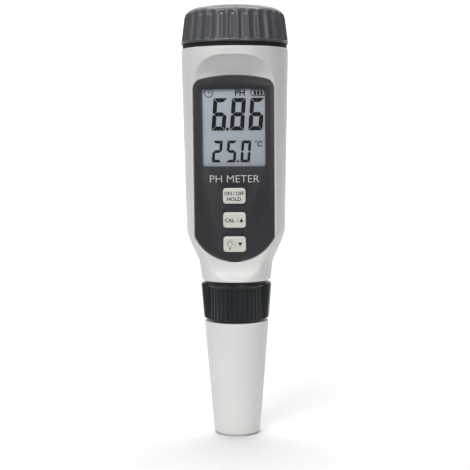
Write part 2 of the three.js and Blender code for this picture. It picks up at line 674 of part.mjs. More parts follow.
function addNeck() {
  const lipBottom = HOUSING_TOP - NECK_LIP - SEAT;
  const flangeR = HOUSING_TOP_R - HOUSING_WALL - 0.2;
  const flangeBottom = lipBottom - NECK_FLANGE;
  const wall = revolved([
    [neckBoreR, flangeBottom],
    [flangeR, flangeBottom],
    [flangeR, lipBottom],
    [NECK_WAIST_R, lipBottom],
    [NECK_WAIST_R, HOUSING_TOP + SEAT],
    [NECK_R, HOUSING_TOP + SEAT],
    [NECK_R, HOUSING_TOP + NECK_HEIGHT],
    [neckBoreR, HOUSING_TOP + NECK_HEIGHT],
  ]);
  const floor = rod(neckBoreR + 0.5, HOUSING_TOP, HOUSING_TOP + NECK_FLOOR, 0, 0, ROUND);
  const start = HOUSING_TOP + BATTERY_THREAD_RISE;
  const ridge = thread(NECK_R, BATTERY_THREAD_R, start, BATTERY_THREAD_PITCH, BATTERY_THREAD_TURNS);
  const holes = leadPlaces.map(([x, y]) =>
    rod(LEAD_R + LEAD_HOLE, HOUSING_TOP - 1, HOUSING_TOP + NECK_FLOOR + 1, x, y, 12));
  const trimmed = cut(joined(wall, floor, ridge), frontBlock(wallBack + FIT), ...holes);
  add("neck_ring", trimmed, blackPlastic());
}

function addSealRing() {
  const outer = HOUSING_TOP_R - 0.4;
  const seal = ring(outer, NECK_R + 0.1, HOUSING_TOP + SEAT, BATTERY_CAP_Z - SLIP);
  add("cap_seal_ring", seal, rubber());
}

function addCells() {
  const carrier = rod(neckBoreR - 0.3, carrierBottom, cellTop - 0.4, 0, 0, ROUND);
  const pockets = cellPlaces.map(([x, y]) => rod(CELL_R + 0.25, cellBottom - SEAT, cellTop, x, y, 20));
  const windows = cellPlaces.map(([x, y]) => rod(2.5, carrierBottom - 1, cellTop, x, y));
  add("battery_carrier", cut(carrier, ...pockets, ...windows), blackPlastic());
  cellPlaces.forEach(([x, y], index) => {
    const cell = revolved([
      [0, cellBottom],
      [CELL_R - 0.9, cellBottom],
      [CELL_R - 0.9, cellBottom + 0.4],
      [CELL_R, cellBottom + 0.4],
      [CELL_R, cellTop],
      [0, cellTop],
    ], 20);
    add(`button_cell_${index + 1}`, cell, steel()).position.set(x, y, 0);
  });
}

// Spring contacts under the carrier: two terminals and a bridge, each with domes up to its cells.
function addLowerContacts() {
  const dome = ([x, y]) => rod(1.8, contactBottom, cellBottom - SEAT, x, y, 16);
  const sheet = (x0, x1, y0, y1) =>
    box([x0, x1], [y0, y1], [contactBottom, contactBottom + CONTACT_THICKNESS]);
  const half = CELL_PITCH / 2;
  const terminal = ([x, y]) => joined(sheet(x - 2.8, x + 2.8, y - 2.8, y + 2.8), dome([x, y]));
  add("plus_contact", terminal(cellPlaces[0]), brass());
  add("minus_contact", terminal(cellPlaces[3]), brass());
  const bridge = joined(
    sheet(-half - 2.8, half + 2.8, -half - 2.8, -half + 2.8),
    dome(cellPlaces[1]),
    dome(cellPlaces[2]),
  );
  add("bridge_contact", bridge, brass());
}

function addContactDisc() {
  const discR = neckBoreR - 0.6;
  const disc = ring(discR, DISC_PIN_R + 0.2, discBottom, discBottom + DISC_THICKNESS);
  add("contact_disc", disc, blackPlastic());
  const half = CELL_PITCH / 2;
  [["right", 1], ["left", -1]].forEach(([side, sign]) => {
    const xs = [sign * (half - 2.6), sign * (half + 2.6)].sort((a, b) => a - b);
    const strip = box(xs, [-half - 3, half + 3], [stripBottom, stripBottom + CONTACT_THICKNESS]);
    add(`contact_strip_${side}`, strip, brass());
  });
  const clipTop = discBottom - SLIP;
  const clip = ring(CLIP_R, DISC_PIN_R + 2 * SEAT, clipTop - CLIP_THICKNESS, clipTop, FINE);
  add("disc_clip", clip, steel());
}

function addBatteryCap() {
  const bottomR = HOUSING_TOP_R + BATTERY_CAP_OVERHANG;
  const topR = bottomR - BATTERY_CAP_TAPER;
  const shoulder = TOTAL_HEIGHT - BATTERY_CAP_SHOULDER;
  const ribTop = TOTAL_HEIGHT - BATTERY_CAP_CROWN;
  const ribBottom = BATTERY_CAP_Z + BATTERY_CAP_BAND;
  const discTop = discBottom + DISC_THICKNESS;
  const profile = [
    [0, TOTAL_HEIGHT],
    [topR - 3.45, TOTAL_HEIGHT],
    [topR - 2.65, TOTAL_HEIGHT - 0.2],
    [topR - 1.1, TOTAL_HEIGHT - 1.7],
    [topR - 0.35, ribTop],
    [topR - 0.15, shoulder],
    [bottomR - 0.05, ribBottom + 0.05],
    [bottomR, ribBottom - 0.05],
    [bottomR, BATTERY_CAP_Z],
    [0, BATTERY_CAP_Z],
  ];
  const outside = ribbed(profile, BATTERY_CAP_RIBS, BATTERY_CAP_RIB_DEPTH, ribBottom, shoulder);
  const hollow = revolved([
    [0, BATTERY_CAP_Z - 1],
    [CAP_BORE_R, BATTERY_CAP_Z - 1],
    [CAP_BORE_R, ceiling - 1.6],
    [CAP_BORE_R - 1.6, ceiling],
    [0, ceiling],
  ]);
  const hub = rod(CAP_HUB_R, discTop + SLIP, ceiling + 1);
  const pin = rod(DISC_PIN_R, discBottom - SLIP - CLIP_THICKNESS - SEAT, ceiling);
  const start = HOUSING_TOP + BATTERY_THREAD_RISE + BATTERY_THREAD_PITCH / 2;
  const ridge = innerThread(CAP_BORE_R, BATTERY_THREAD_R, start, BATTERY_THREAD_PITCH, BATTERY_THREAD_TURNS);
  add("battery_cap", joined(cut(outside, hollow), hub, pin, ridge), darkPlastic());
}

function addLeads() {
  ["plus", "minus"].forEach((pole, index) => {
    const [x, y] = leadPlaces[index];
    const top = contactBottom - SEAT;
    const boardX = Math.sign(x) * TOP_SCREW_X * 0.45;
    const route = new THREE.CatmullRomCurve3([
      new THREE.Vector3(x, y, top),
      new THREE.Vector3(x, y, top - NECK_FLOOR - 1),
      new THREE.Vector3(x * 0.9, y * 0.4, top - LEAD_DROP),
      new THREE.Vector3(boardX, boardBack - FLAT_DEPTH + 0.6, PANEL_Z + BOARD_TOP - 3.5),
    ]);
    add(`battery_lead_${pole}`, tube(route, LEAD_R, 14, 8), index ? blackPlastic() : finish("#a8322c", 0.5));
  });
}

// ---------------------------------------------------------------- collar and electrode module

const spigotR = LOWER_NECK_BORE_R - 0.35;
const sealGrooveR = LOWER_NECK_BORE_R - SEAL_SQUEEZE - 2 * MODULE_SEAL_R;
const capBoreR = MODULE_SEAT_R + SENSOR_CAP_CLEARANCE;
const capGrooveR = capBoreR - SEAL_SQUEEZE - 2 * CAP_SEAL_R;
const spigotTop = FLANGE_TOP + MODULE_SPIGOT;
const moduleSealZ = spigotTop - 2.8;
const capSealZ = MODULE_Z + 5.6;
const bulbZ = GUARD_Z + BULB_ABOVE_GUARD;
const collarThreadStart = FLANGE_TOP + 2;

function addLowerNeck() {
  const bottom = FLANGE_TOP + SLIP;
  const waistTop = HOUSING_Z + HOUSING_LIP + SEAT;
  const neck = revolved([
    [LOWER_NECK_BORE_R, bottom],
    [LOWER_NECK_R, bottom],
    [LOWER_NECK_R, COLLAR_TOP + SLIP],
    [LOWER_NECK_DISC_R, COLLAR_TOP + SLIP],
    [LOWER_NECK_DISC_R, HOUSING_Z - SEAT],
    [LOWER_WAIST_R, HOUSING_Z - SEAT],
    [LOWER_WAIST_R, waistTop],
    [THROAT_BOTTOM_R - HOUSING_WALL - 0.1, waistTop],
    [THROAT_BOTTOM_R - HOUSING_WALL - 0.1, waistTop + LOWER_NECK_FLANGE],
    [LOWER_NECK_BORE_R, waistTop + LOWER_NECK_FLANGE],
  ]);
  const ridge = thread(
    LOWER_NECK_R, COLLAR_THREAD_R, collarThreadStart, COLLAR_THREAD_PITCH, COLLAR_THREAD_TURNS,
  );
  add("lower_neck", cut(joined(neck, ridge), frontBlock(wallBack + FIT)), blackPlastic());
}

// A wing on either side of the collar, for the fingers to turn it by.
function lugs() {
  const bottom = COLLAR_Z + LUG_INSET;
  const wings = revolved([
    [0, bottom],
    [LUG_BOTTOM_R - LUG_EDGE, bottom],
    [LUG_BOTTOM_R, bottom + LUG_EDGE],
    [LUG_TOP_R, COLLAR_TOP - LUG_EDGE],
    [LUG_TOP_R - LUG_EDGE, COLLAR_TOP],
    [0, COLLAR_TOP],
  ]);
  const across = box([-BEYOND, BEYOND], [-LUG_HALF_WIDTH, LUG_HALF_WIDTH], [0, TOTAL_HEIGHT]);
  return wings.intersect(across);
}

function addCollar() {
  const top = COLLAR_TOP;
  const ribTop = top - COLLAR_RIM;
  const profile = [
    [0, COLLAR_Z],
    [COLLAR_DRUM_R - 0.5, COLLAR_Z],
    [COLLAR_DRUM_R, COLLAR_Z + 0.6],
    [COLLAR_DRUM_R, ribTop - 0.2],
    [COLLAR_RIM_R, ribTop + 0.1],
    [COLLAR_RIM_R, top - 0.4],
    [COLLAR_RIM_R - 0.4, top],
    [0, top],
  ];
  const drum = ribbed(profile, COLLAR_RIBS, COLLAR_RIB_DEPTH, COLLAR_Z + 0.5, ribTop);
  const start = collarThreadStart + COLLAR_THREAD_PITCH / 2;
  const ridge = innerThread(COLLAR_BORE_R, COLLAR_THREAD_R, start, COLLAR_THREAD_PITCH, COLLAR_THREAD_TURNS);
  const bore = revolved([
    [0, COLLAR_Z - 1],
    [MODULE_SEAT_R + 0.35, COLLAR_Z - 1],
    [MODULE_SEAT_R + 0.35, COLLAR_Z + COLLAR_LIP],
    [COLLAR_BORE_R, COLLAR_Z + COLLAR_LIP],
    [COLLAR_BORE_R, top + 1],
    [0, top + 1],
  ]);
  add("collar", joined(cut(joined(drum, lugs()), bore), ridge), darkPlastic());
}

function addModule() {
  const sealGroove = (radius, outer, middle, half) =>
    ring(outer + 1, radius, middle - half - SEAT, middle + half + SEAT);
  const body = joined(
    rod(MODULE_SEAT_R, MODULE_Z, FLANGE_Z, 0, 0, ROUND),
    rod(COLLAR_BORE_R - 0.35, FLANGE_Z, FLANGE_TOP, 0, 0, ROUND),
    rod(spigotR, FLANGE_TOP, spigotTop, 0, 0, ROUND),
  );
  const plugHole = box(
    [-PLUG_WIDTH / 2 - FIT, PLUG_WIDTH / 2 + FIT],
    [PLUG_Y - PLUG_THICKNESS / 2 - FIT, PLUG_Y + PLUG_THICKNESS / 2 + FIT],
    [spigotTop - PLUG_DEPTH - FIT, spigotTop + 1],
  );
  const shaped = cut(
    body,
    sealGroove(sealGrooveR - SEAT, spigotR, moduleSealZ, MODULE_SEAL_R),
    sealGroove(capGrooveR - SEAT, MODULE_SEAT_R, capSealZ, CAP_SEAL_R),
    rod(STEM_R + 0.2, MODULE_Z - 1, MODULE_Z + STEM_DEPTH + 0.3, 0, 0, 32),
    rod(JUNCTION_R + 0.1, MODULE_Z - 1, MODULE_Z + PIN_DEPTH + 0.2, PIN_OFFSET, 0, 16),
    rod(THERMO_R + 0.1, MODULE_Z - 1, MODULE_Z + PIN_DEPTH + 0.2, -PIN_OFFSET, 0, 16),
    plugHole,
  );
  add("electrode_body", shaped, blackPlastic());
  const plugBottom = spigotTop - PLUG_DEPTH;
  const plugSpan = [PLUG_Y - PLUG_THICKNESS / 2, PLUG_Y + PLUG_THICKNESS / 2];
  add("plug_board", box([-PLUG_WIDTH / 2, PLUG_WIDTH / 2], plugSpan, [plugBottom, PLUG_TOP]), boardLaminate());
}

// The socket behind the board's tail that the module's plug board slides into.
function addSocket() {
  const bottom = PLUG_TOP - SOCKET_GRIP;
  const half = PLUG_WIDTH / 2 + FIT;
  const [front, back] = [-1, 1].map((side) => PLUG_Y + side * (PLUG_THICKNESS / 2 + FIT));
  const slot = box([-half, half], [front, back], [bottom - 1, PLUG_TOP + FIT]);
  const block = box(
    [-half - SOCKET_WALL, half + SOCKET_WALL],
    [front - SOCKET_WALL, back + SOCKET_WALL],
    [bottom, bottom + SOCKET_HEIGHT],
  );
  add("plug_socket", cut(block, slot), blackPlastic());
}

function addSealRings() {
  const torus = (r, tubeR, z) => solid(new THREE.TorusGeometry(r, tubeR, 5, 24).translate(0, 0, z));
  const moduleR = LOWER_NECK_BORE_R - SEAL_SQUEEZE - MODULE_SEAL_R;
  add("module_o_ring", torus(moduleR, MODULE_SEAL_R, moduleSealZ), rubber());
  add("cap_o_ring", torus(capBoreR - SEAL_SQUEEZE - CAP_SEAL_R, CAP_SEAL_R, capSealZ), rubber());
}

function addGuard() {
  const top = GUARD_Z + GUARD_LENGTH;
  const wall = ring(GUARD_R, GUARD_R - GUARD_WALL, GUARD_Z, top, 24);
  const half = GUARD_SLOT_WIDTH / 2;
  const slot = [GUARD_Z - 1, GUARD_Z + GUARD_SLOT_LENGTH];
  const along = box([-half, half], [-BEYOND, BEYOND], slot);
  const across = box([-BEYOND, BEYOND], [-half, half], slot);
  add("probe_guard", cut(wall, along, across), blackPlastic());
}

function addSensors() {
  const arc = (radius, from) => [...Array(7).keys()].map((i) => {
    const angle = -Math.PI / 2 + (from + Math.PI / 2) * i / 6;
    return [radius * Math.cos(angle), bulbZ + radius * Math.sin(angle)];
  });
  const top = MODULE_Z + STEM_DEPTH;
  const boreR = STEM_R - GLASS_WALL;
  const innerR = BULB_R - GLASS_WALL;
  const profile = [
    ...arc(BULB_R, Math.acos(STEM_R / BULB_R)).map(([r, z], i) => (i ? [r, z] : [0, z])),
    [STEM_R, top],
    [boreR, top],
    ...arc(innerR, Math.acos(boreR / innerR)).reverse().map(([r, z], i) => (i < 6 ? [r, z] : [0, z])),
  ];
  add("glass_electrode", revolved(profile, FINE), glass());
  add("silver_wire", rod(WIRE_R, bulbZ - 1, top, 0, 0, 8), silver());
  const pin = (radius, length, x) =>
    rod(radius, MODULE_Z + PIN_DEPTH - length, MODULE_Z + PIN_DEPTH, x, 0, 16);
  add("reference_junction", pin(JUNCTION_R, JUNCTION_LENGTH, PIN_OFFSET), ceramic());
  add("temperature_pin", pin(THERMO_R, THERMO_LENGTH, -PIN_OFFSET), steel());
}

// ---------------------------------------------------------------- sensor cap

function addSensorCap() {
  const taper = (SENSOR_CAP_TOP_R - SENSOR_CAP_BOTTOM_R) / (SENSOR_CAP_LENGTH - SENSOR_CAP_EDGE);
  const radiusAt = (z) => {
    const share = (z - SENSOR_CAP_EDGE) / (SENSOR_CAP_LENGTH - SENSOR_CAP_EDGE);
    const bow = 4 * SENSOR_CAP_BELLY * share * (1 - share);
    return SENSOR_CAP_BOTTOM_R + taper * (z - SENSOR_CAP_EDGE) + bow;
  };
  const seatBottom = SENSOR_CAP_LENGTH - SENSOR_CAP_SEAT_DEPTH;
  const floor = SENSOR_CAP_WALL;
  const inside = (z) => Math.min(radiusAt(z) - SENSOR_CAP_WALL, capBoreR - 0.3);
  const outer = [0, 0.25, 0.5, 0.75, 1].map((share) => {
    const z = SENSOR_CAP_EDGE + share * (SENSOR_CAP_LENGTH - SENSOR_CAP_EDGE);
    return [radiusAt(z), z];
  });
  add("sensor_cap", revolved([
    [0, 0],
    [SENSOR_CAP_BOTTOM_R - 1.05, 0],
    [SENSOR_CAP_BOTTOM_R - 0.35, 0.3],
    ...outer,
    [capBoreR, SENSOR_CAP_LENGTH],
    [capBoreR, seatBottom],
    [inside(seatBottom - 0.6), seatBottom - 0.6],
    [inside(floor + 1), floor + 1],
    [inside(floor) - 1, floor],
    [0, floor],
  ]), lightPlastic());
  const spongeR = inside(floor + 1) - 0.2;
  const sponge = revolved([
    [0, floor + SLIP],
    [spongeR - 1, floor + SLIP],
    [spongeR, floor + 1.1],
    [spongeR, floor + SPONGE_THICKNESS],
    [0, floor + SPONGE_THICKNESS],
  ], 24);
  add("storage_sponge", sponge, foam());
}

// ---------------------------------------------------------------- assembly

addHousing();
addOverlay();
addDisplay();
addBoard();
addKeys();
addNeck();
addSealRing();
addCells();
addLowerContacts();
addContactDisc();
addBatteryCap();
addLeads();
addLowerNeck();
addCollar();
addModule();
addSocket();
addSealRings();
addGuard();
addSensors();
addSensorCap();

export default model;
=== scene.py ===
"""A pen-type pH meter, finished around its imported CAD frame.

Laid out as an add-on and run as a script. Lengths in the settings are metres, drawings are in
millimetres, +Z is up, the display faces -Y and +X is to its right.
"""
import math

import bmesh
import bpy
from mathutils import Matrix, Vector


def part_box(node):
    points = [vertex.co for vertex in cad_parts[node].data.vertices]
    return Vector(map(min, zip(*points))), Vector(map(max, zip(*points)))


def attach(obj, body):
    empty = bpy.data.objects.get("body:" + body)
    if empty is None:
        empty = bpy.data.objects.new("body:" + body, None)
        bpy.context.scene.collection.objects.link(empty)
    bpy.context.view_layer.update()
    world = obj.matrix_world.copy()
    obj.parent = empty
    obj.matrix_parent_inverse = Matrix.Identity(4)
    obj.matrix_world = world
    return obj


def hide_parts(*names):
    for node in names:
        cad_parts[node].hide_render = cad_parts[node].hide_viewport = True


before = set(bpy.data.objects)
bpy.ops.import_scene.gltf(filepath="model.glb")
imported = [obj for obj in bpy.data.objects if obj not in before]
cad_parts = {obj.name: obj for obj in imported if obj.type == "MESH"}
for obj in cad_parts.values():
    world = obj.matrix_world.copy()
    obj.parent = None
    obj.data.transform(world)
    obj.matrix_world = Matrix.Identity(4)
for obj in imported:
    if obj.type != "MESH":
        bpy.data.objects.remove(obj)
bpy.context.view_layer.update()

bl_info = {
    "name": "pH Meter",
    "version": (1, 0, 0),
    "blender": (4, 5, 0),
    "location": "View3D > Sidebar > pH Meter",
    "description": "Builds the finished pieces of a pen-type pH meter around its frame",
    "category": "Add Mesh",
}

MM = 0.001


# ---------------------------------------------------------------- the frame, in millimetres

def span(node, axis):
    """The lowest and highest coordinate of a CAD node along an axis, in millimetres."""
    low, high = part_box(node)
    return low[axis] / MM, high[axis] / MM


X_AXIS, Y_AXIS, Z_AXIS = range(3)
HOUSING_BOTTOM, HOUSING_TOP = span("rear_housing", Z_AXIS)
HOUSING_TOP_R = span("rear_housing", Y_AXIS)[1]
CAP_BOTTOM, CAP_TOP = span("battery_cap", Z_AXIS)
CAP_R = span("battery_cap", X_AXIS)[1]
COLLAR_BOTTOM, COLLAR_TOP = span("collar", Z_AXIS)
LUG_R = span("collar", X_AXIS)[1]
SENSOR_CAP_TOP = span("sensor_cap", Z_AXIS)[1]
SENSOR_CAP_R = span("sensor_cap", X_AXIS)[1]


# ---------------------------------------------------------------- settings

def length(name, description, default):
    """A length setting, in metres, from its size in millimetres."""
    return bpy.props.FloatProperty(
        name=name, description=description, default=default * MM, min=0.0, unit="LENGTH", precision=5)


def colour(name, description, default):
    """A colour setting, as an sRGB hex value."""
    return bpy.props.StringProperty(name=name, description=description, default=default)


class PHMETER_PG_housing(bpy.types.PropertyGroup):
    belly_radius: length("Belly radius", "Radius just above the shoulder", 18.65)
    throat_radius: length("Throat radius", "Radius where the shoulder ends", 13.95)
    bottom_radius: length("Bottom radius", "Radius at the lower end", 13.1)
    throat_length: length("Throat length", "From the lower end to the shoulder", 7.0)
    shoulder_length: length("Shoulder length", "Height of the shoulder", 12.2)
    top_band: length("Top band", "Height of the straight band at the top", 5.0)
    wall: length("Wall", "Thickness of the shells", 2.0)
    edge: length("Edge", "Softness of the edge round the flat", 0.8)
    top_cove: length("Top cove", "Radius of the scoop above the panel", 7.0)
    lower_cove: length("Lower cove", "Radius of the lip below the panel", 8.9)
    plastic: colour("Plastic", "Light grey ABS", "#D9D9D7")


class PHMETER_PG_panel(bpy.types.PropertyGroup):
    half_width: length("Half width", "Half of the overlay's width", 14.75)
    top: length("Top", "Overlay's crown above the panel's origin", 15.8)
    top_radius: length("Top radius", "Radius of the arched top", 52.0)
    bottom_radius: length("Bottom radius", "Radius of the round bottom", 16.4)
    film: colour("Film", "Printed polycarbonate film", "#232429")
    print_colour: colour("Print", "Light lettering on the film", "#CFCFD0")


class PHMETER_PG_display(bpy.types.PropertyGroup):
    large_height: length("Large digits", "Height of the large digits", 11.9)
    small_height: length("Small digits", "Height of the small digits", 8.06)
    slant: bpy.props.FloatProperty(
        name="Slant", description="Lean of the digits", default=math.radians(4.4), subtype="ANGLE")
    reading: bpy.props.StringProperty(name="Reading", description="Large digits", default="6.86")
    temperature: bpy.props.StringProperty(name="Temperature", description="Small digits", default="25.0")
    ground: colour("Ground", "Display with nothing on it", "#B9C3CE")
    ink: colour("Ink", "Lit segments", "#030306")


class PHMETER_PG_keys(bpy.types.PropertyGroup):
    width: length("Width", "Width of a key", 8.5)
    height: length("Height", "Height of a key", 5.85)
    corner: length("Corner", "Corner radius of a key", 1.2)
    plastic: colour("Plastic", "Key plastic", "#D2D2CB")
    print_colour: colour("Print", "Dark lettering on the keys", "#1E1E20")


class PHMETER_PG_caps(bpy.types.PropertyGroup):
    cap_ribs: bpy.props.IntProperty(
        name="Cap ribs", description="Ribs on the battery cap", default=30, min=3)
    cap_rib_depth: length("Cap rib depth", "Depth of the grooves on the battery cap", 0.75)
    collar_ribs: bpy.props.IntProperty(
        name="Collar ribs", description="Ribs on the collar", default=40, min=3)
    collar_rib_depth: length("Collar rib depth", "Depth of the grooves on the collar", 0.4)
    cap_plastic: colour("Cap plastic", "Dark ABS of the battery cap", "#4B4D51")
    collar_plastic: colour("Collar plastic", "Dark ABS of the collar", "#191F22")


class PHMETER_PG_stage(bpy.types.PropertyGroup):
    distance: length("Distance", "From the meter's axis to the camera", 456.0)
    camera_height: length("Camera height", "Height of the camera above the floor", 113.8)
    azimuth: bpy.props.FloatProperty(
        name="Azimuth", description="Turn of the camera round the meter", default=math.radians(2.8),
        subtype="ANGLE")
    pitch: bpy.props.FloatProperty(
        name="Pitch", description="How far the camera looks down", default=math.radians(4.73),
        subtype="ANGLE")
    aim: bpy.props.FloatProperty(
        name="Aim", description="How far the camera looks left of the meter", default=math.radians(0.05),
        subtype="ANGLE")
    roll: bpy.props.FloatProperty(
        name="Roll", description="Lean of the camera", default=math.radians(0.43), subtype="ANGLE")
    lens: bpy.props.FloatProperty(name="Lens", description="Focal length in millimetres", default=91.9)
    floor: colour("Floor", "Pale floor", "#E0E0E0")


GROUPS = {
    "ph_housing": PHMETER_PG_housing,
    "ph_panel": PHMETER_PG_panel,
    "ph_display": PHMETER_PG_display,
    "ph_keys": PHMETER_PG_keys,
    "ph_caps": PHMETER_PG_caps,
    "ph_stage": PHMETER_PG_stage,
}


# ---------------------------------------------------------------- mesh tools

MERGE_DISTANCE = 1e-3 * MM


def close_up(mesh):
    """Merges doubles and turns every face outwards."""
    shape = bmesh.new()
    shape.from_mesh(mesh)
    bmesh.ops.remove_doubles(shape, verts=shape.verts, dist=MERGE_DISTANCE)
    bmesh.ops.dissolve_degenerate(shape, edges=shape.edges, dist=MERGE_DISTANCE / 10)
    bmesh.ops.recalc_face_normals(shape, faces=shape.faces)
    shape.to_mesh(mesh)
    shape.free()


def add_object(name, data):
    """Adds an object to the scene."""
    added = bpy.data.objects.new(name, data)
    bpy.context.scene.collection.objects.link(added)
    return added


def make_object(name, vertices, faces, material, sharp_angle=32):
    """Makes a closed mesh with its faces outwards from points in millimetres."""
    mesh = bpy.data.meshes.new(name)
    mesh.from_pydata([Vector(v) * MM for v in vertices], [], faces)
    close_up(mesh)
    piece = add_object(name, mesh)
    mesh.materials.append(material)
    smooth(piece, sharp_angle)
    return piece


def smooth(piece, sharp_angle=32):
    """Shades a piece smooth, but for its sharp edges."""
    piece.data.polygons.foreach_set("use_smooth", [True] * len(piece.data.polygons))
    piece.data.set_sharp_from_angle(angle=math.radians(sharp_angle))


def apply_modifiers(piece):
    """Turns a piece with live modifiers into a plain mesh."""
    depsgraph = bpy.context.evaluated_depsgraph_get()
    evaluated = piece.evaluated_get(depsgraph)
    mesh = bpy.data.meshes.new_from_object(evaluated, depsgraph=depsgraph)
    piece.modifiers.clear()
    piece.data = mesh
    return piece


def round_edges(piece, width):
    """Rounds the sharp edges of a piece."""
    bevel = piece.modifiers.new("round edges", "BEVEL")
    bevel.width = width * MM
    bevel.segments = 2
    bevel.limit_method = "ANGLE"
    bevel.angle_limit = math.radians(40)
    apply_modifiers(piece)
    smooth(piece)
    return piece


def cut_away(piece, *tools):
    """Cuts the tools' shapes out of a piece and removes the tools."""
    for tool in tools:
        boolean = piece.modifiers.new("cut", "BOOLEAN")
        boolean.operation = "DIFFERENCE"
        boolean.solver = "EXACT"
        boolean.object = tool
    apply_modifiers(piece)
    for tool in tools:
        bpy.data.objects.remove(tool)
    smooth(piece)
    return piece


def rounded(corners, steps=5, closed=False):
    """A path through (a, b, radius) corners, each rounded to its own radius."""
    path = []
    count = len(corners)
    for index, (a, b, radius) in enumerate(corners):
        here = Vector((a, b))
        if radius <= 0 or (not closed and index in (0, count - 1)):
            path.append((a, b))
            continue
        before = Vector(corners[index - 1][:2]) - here
        after = Vector(corners[(index + 1) % count][:2]) - here
        half = before.angle(after) / 2
        reach = min(radius / math.tan(half), 0.49 * before.length, 0.49 * after.length)
        start = here + before.normalized() * reach
        end = here + after.normalized() * reach
        for step in range(steps + 1):
            t = step / steps
            point = start * (1 - t) ** 2 + here * 2 * t * (1 - t) + end * t ** 2
            path.append((point.x, point.y))
    return path


def turn(name, path, material, sides=128):
    """Turns a path of (radius, height) about the axis. It starts and ends on the axis or is closed."""
    vertices, rings = [], []
    for radius, height in path:
        if radius < 1e-6:
            rings.append([len(vertices)] * sides)
            vertices.append((0, 0, height))
            continue
        rings.append(list(range(len(vertices), len(vertices) + sides)))
        for side in range(sides):
            angle = 2 * math.pi * side / sides
            vertices.append((radius * math.cos(angle), radius * math.sin(angle), height))
    pairs = list(zip(rings, rings[1:]))
    if path[0][0] > 1e-6:
        pairs.append((rings[-1], rings[0]))
    faces = []
    for low, high in pairs:
        for side in range(sides):
            after = (side + 1) % sides
            corners = [low[side], low[after], high[after], high[side]]
            face = list(dict.fromkeys(corners))
            if len(face) > 2:
                faces.append(face)
    return make_object(name, vertices, faces, material)


def ride(piece, body, slot, *replaced):
    """Puts a finished piece on its body, in place of the CAD nodes it stands for."""
    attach(piece, body)
    if replaced:
        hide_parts(*replaced)
    return piece


# ---------------------------------------------------------------- materials

RGBA = {"data_type": "RGBA"}
WAVES_PER_UNIT = 20  # of Blender's wave texture at scale 1


def to_linear(hex_colour):
    """Turns an sRGB hex value into a linear colour."""
    channels = [int(hex_colour[i:i + 2], 16) / 255 for i in (1, 3, 5)]
    linear = [c / 12.92 if c <= 0.04045 else ((c + 0.055) / 1.055) ** 2.4 for c in channels]
    return (*linear, 1.0)


def shaded(colour, factor):
    """A linear colour made lighter or darker."""
    return (*[min(1.0, c * factor) for c in colour[:3]], 1.0)


def add_node(tree, kind, settings=None, **inputs):
    """Adds a node with its settings. An input is a value, or the socket that feeds it. It is given by
    its name, or by _ and its number."""
    node = tree.nodes.new(kind)
    for name, value in (settings or {}).items():
        setattr(node, name, value)
    for name, value in inputs.items():
        socket = node.inputs[int(name[1:])] if name[1:].isdigit() else node.inputs[name.replace("_", " ")]
        if isinstance(value, bpy.types.NodeSocket):
            tree.links.new(value, socket)
        else:
            socket.default_value = value
    return node


def new_material(name):
    """A material with its shader, and the piece's own coordinates in metres."""
    material = bpy.data.materials.new(name)
    material.use_nodes = True
    tree = material.node_tree
    shader = tree.nodes["Principled BSDF"]
    place = add_node(tree, "ShaderNodeTexCoord").outputs["Object"]
    return material, tree, shader, place


def uneven(tree, place, size, low, high, detail=3.0, fineness=0.5):
    """A value that drifts between two others, in lumps about so many millimetres across."""
    lumps = add_node(tree, "ShaderNodeTexNoise", Vector=place, Scale=1 / (size * MM), Detail=detail,
                     Roughness=fineness)
    return add_node(tree, "ShaderNodeMapRange", Value=lumps.outputs["Fac"], From_Min=0.3, From_Max=0.7,
                    To_Min=low, To_Max=high).outputs["Result"]


def clouded(tree, place, size, first, second, detail=3.0, fineness=0.5):
    """A colour that drifts between two others, in lumps about so many millimetres across."""
    share = uneven(tree, place, size, 0.0, 1.0, detail, fineness)
    return add_node(tree, "ShaderNodeMix", RGBA, _0=share, _6=first, _7=second).outputs[2]


def flecked(tree, place, size, least, most, amount, tone, fleck, detail):
    """A colour with flecks of another where a fine noise is high."""
    lumps = add_node(tree, "ShaderNodeTexNoise", Vector=place, Scale=1 / (size * MM), Detail=detail,
                     Roughness=0.5)
    share = add_node(tree, "ShaderNodeMapRange", Value=lumps.outputs["Fac"], From_Min=least,
                     From_Max=most, To_Min=0.0, To_Max=amount).outputs["Result"]
    return add_node(tree, "ShaderNodeMix", RGBA, _0=share, _6=tone, _7=fleck).outputs[2]


def feed(tree, shader, tone, roughness, ior):
    """Gives the shader its colour, its roughness and how strongly it bends light."""
    tree.links.new(tone, shader.inputs["Base Color"])
    tree.links.new(roughness, shader.inputs["Roughness"])
    shader.inputs["IOR"].default_value = ior


def press(tree, place, shader, size, depth, detail=2.0, over=None):
    """Presses lumps about so many millimetres across into the surface, to a depth in millimetres."""
    lumps = add_node(tree, "ShaderNodeTexNoise", Vector=place, Scale=1 / (size * MM), Detail=detail,
                     Roughness=0.5)
    pressed = add_node(tree, "ShaderNodeBump", Height=lumps.outputs["Fac"], Strength=1.0,
                       Distance=depth * MM)
    if over is not None:
        tree.links.new(over, pressed.inputs["Normal"])
    tree.links.new(pressed.outputs["Normal"], shader.inputs["Normal"])
    return pressed.outputs["Normal"]


def moulded(name, hex_colour, roughness, grain, depth, mottle=0.04, ior=1.54, specks=0.0):
    """Moulded plastic. The spark-eroded tool leaves a fine grain, so the sheen is soft and a little
    uneven, and the melt leaves broad faint clouds in the colour."""
    material, tree, shader, place = new_material(name)
    base = to_linear(hex_colour)
    tone = clouded(tree, place, 14.0, shaded(base, 1 - mottle), shaded(base, 1 + mottle))
    if specks:
        tone = flecked(tree, place, 0.9, 0.70, 0.76, specks, tone, shaded(base, 0.55), 1.0)
    handled = uneven(tree, place, 5.0, roughness * 0.86, roughness * 1.14, 4.0, 0.6)
    feed(tree, shader, tone, handled, ior)
    press(tree, place, shader, grain, depth)
    return material


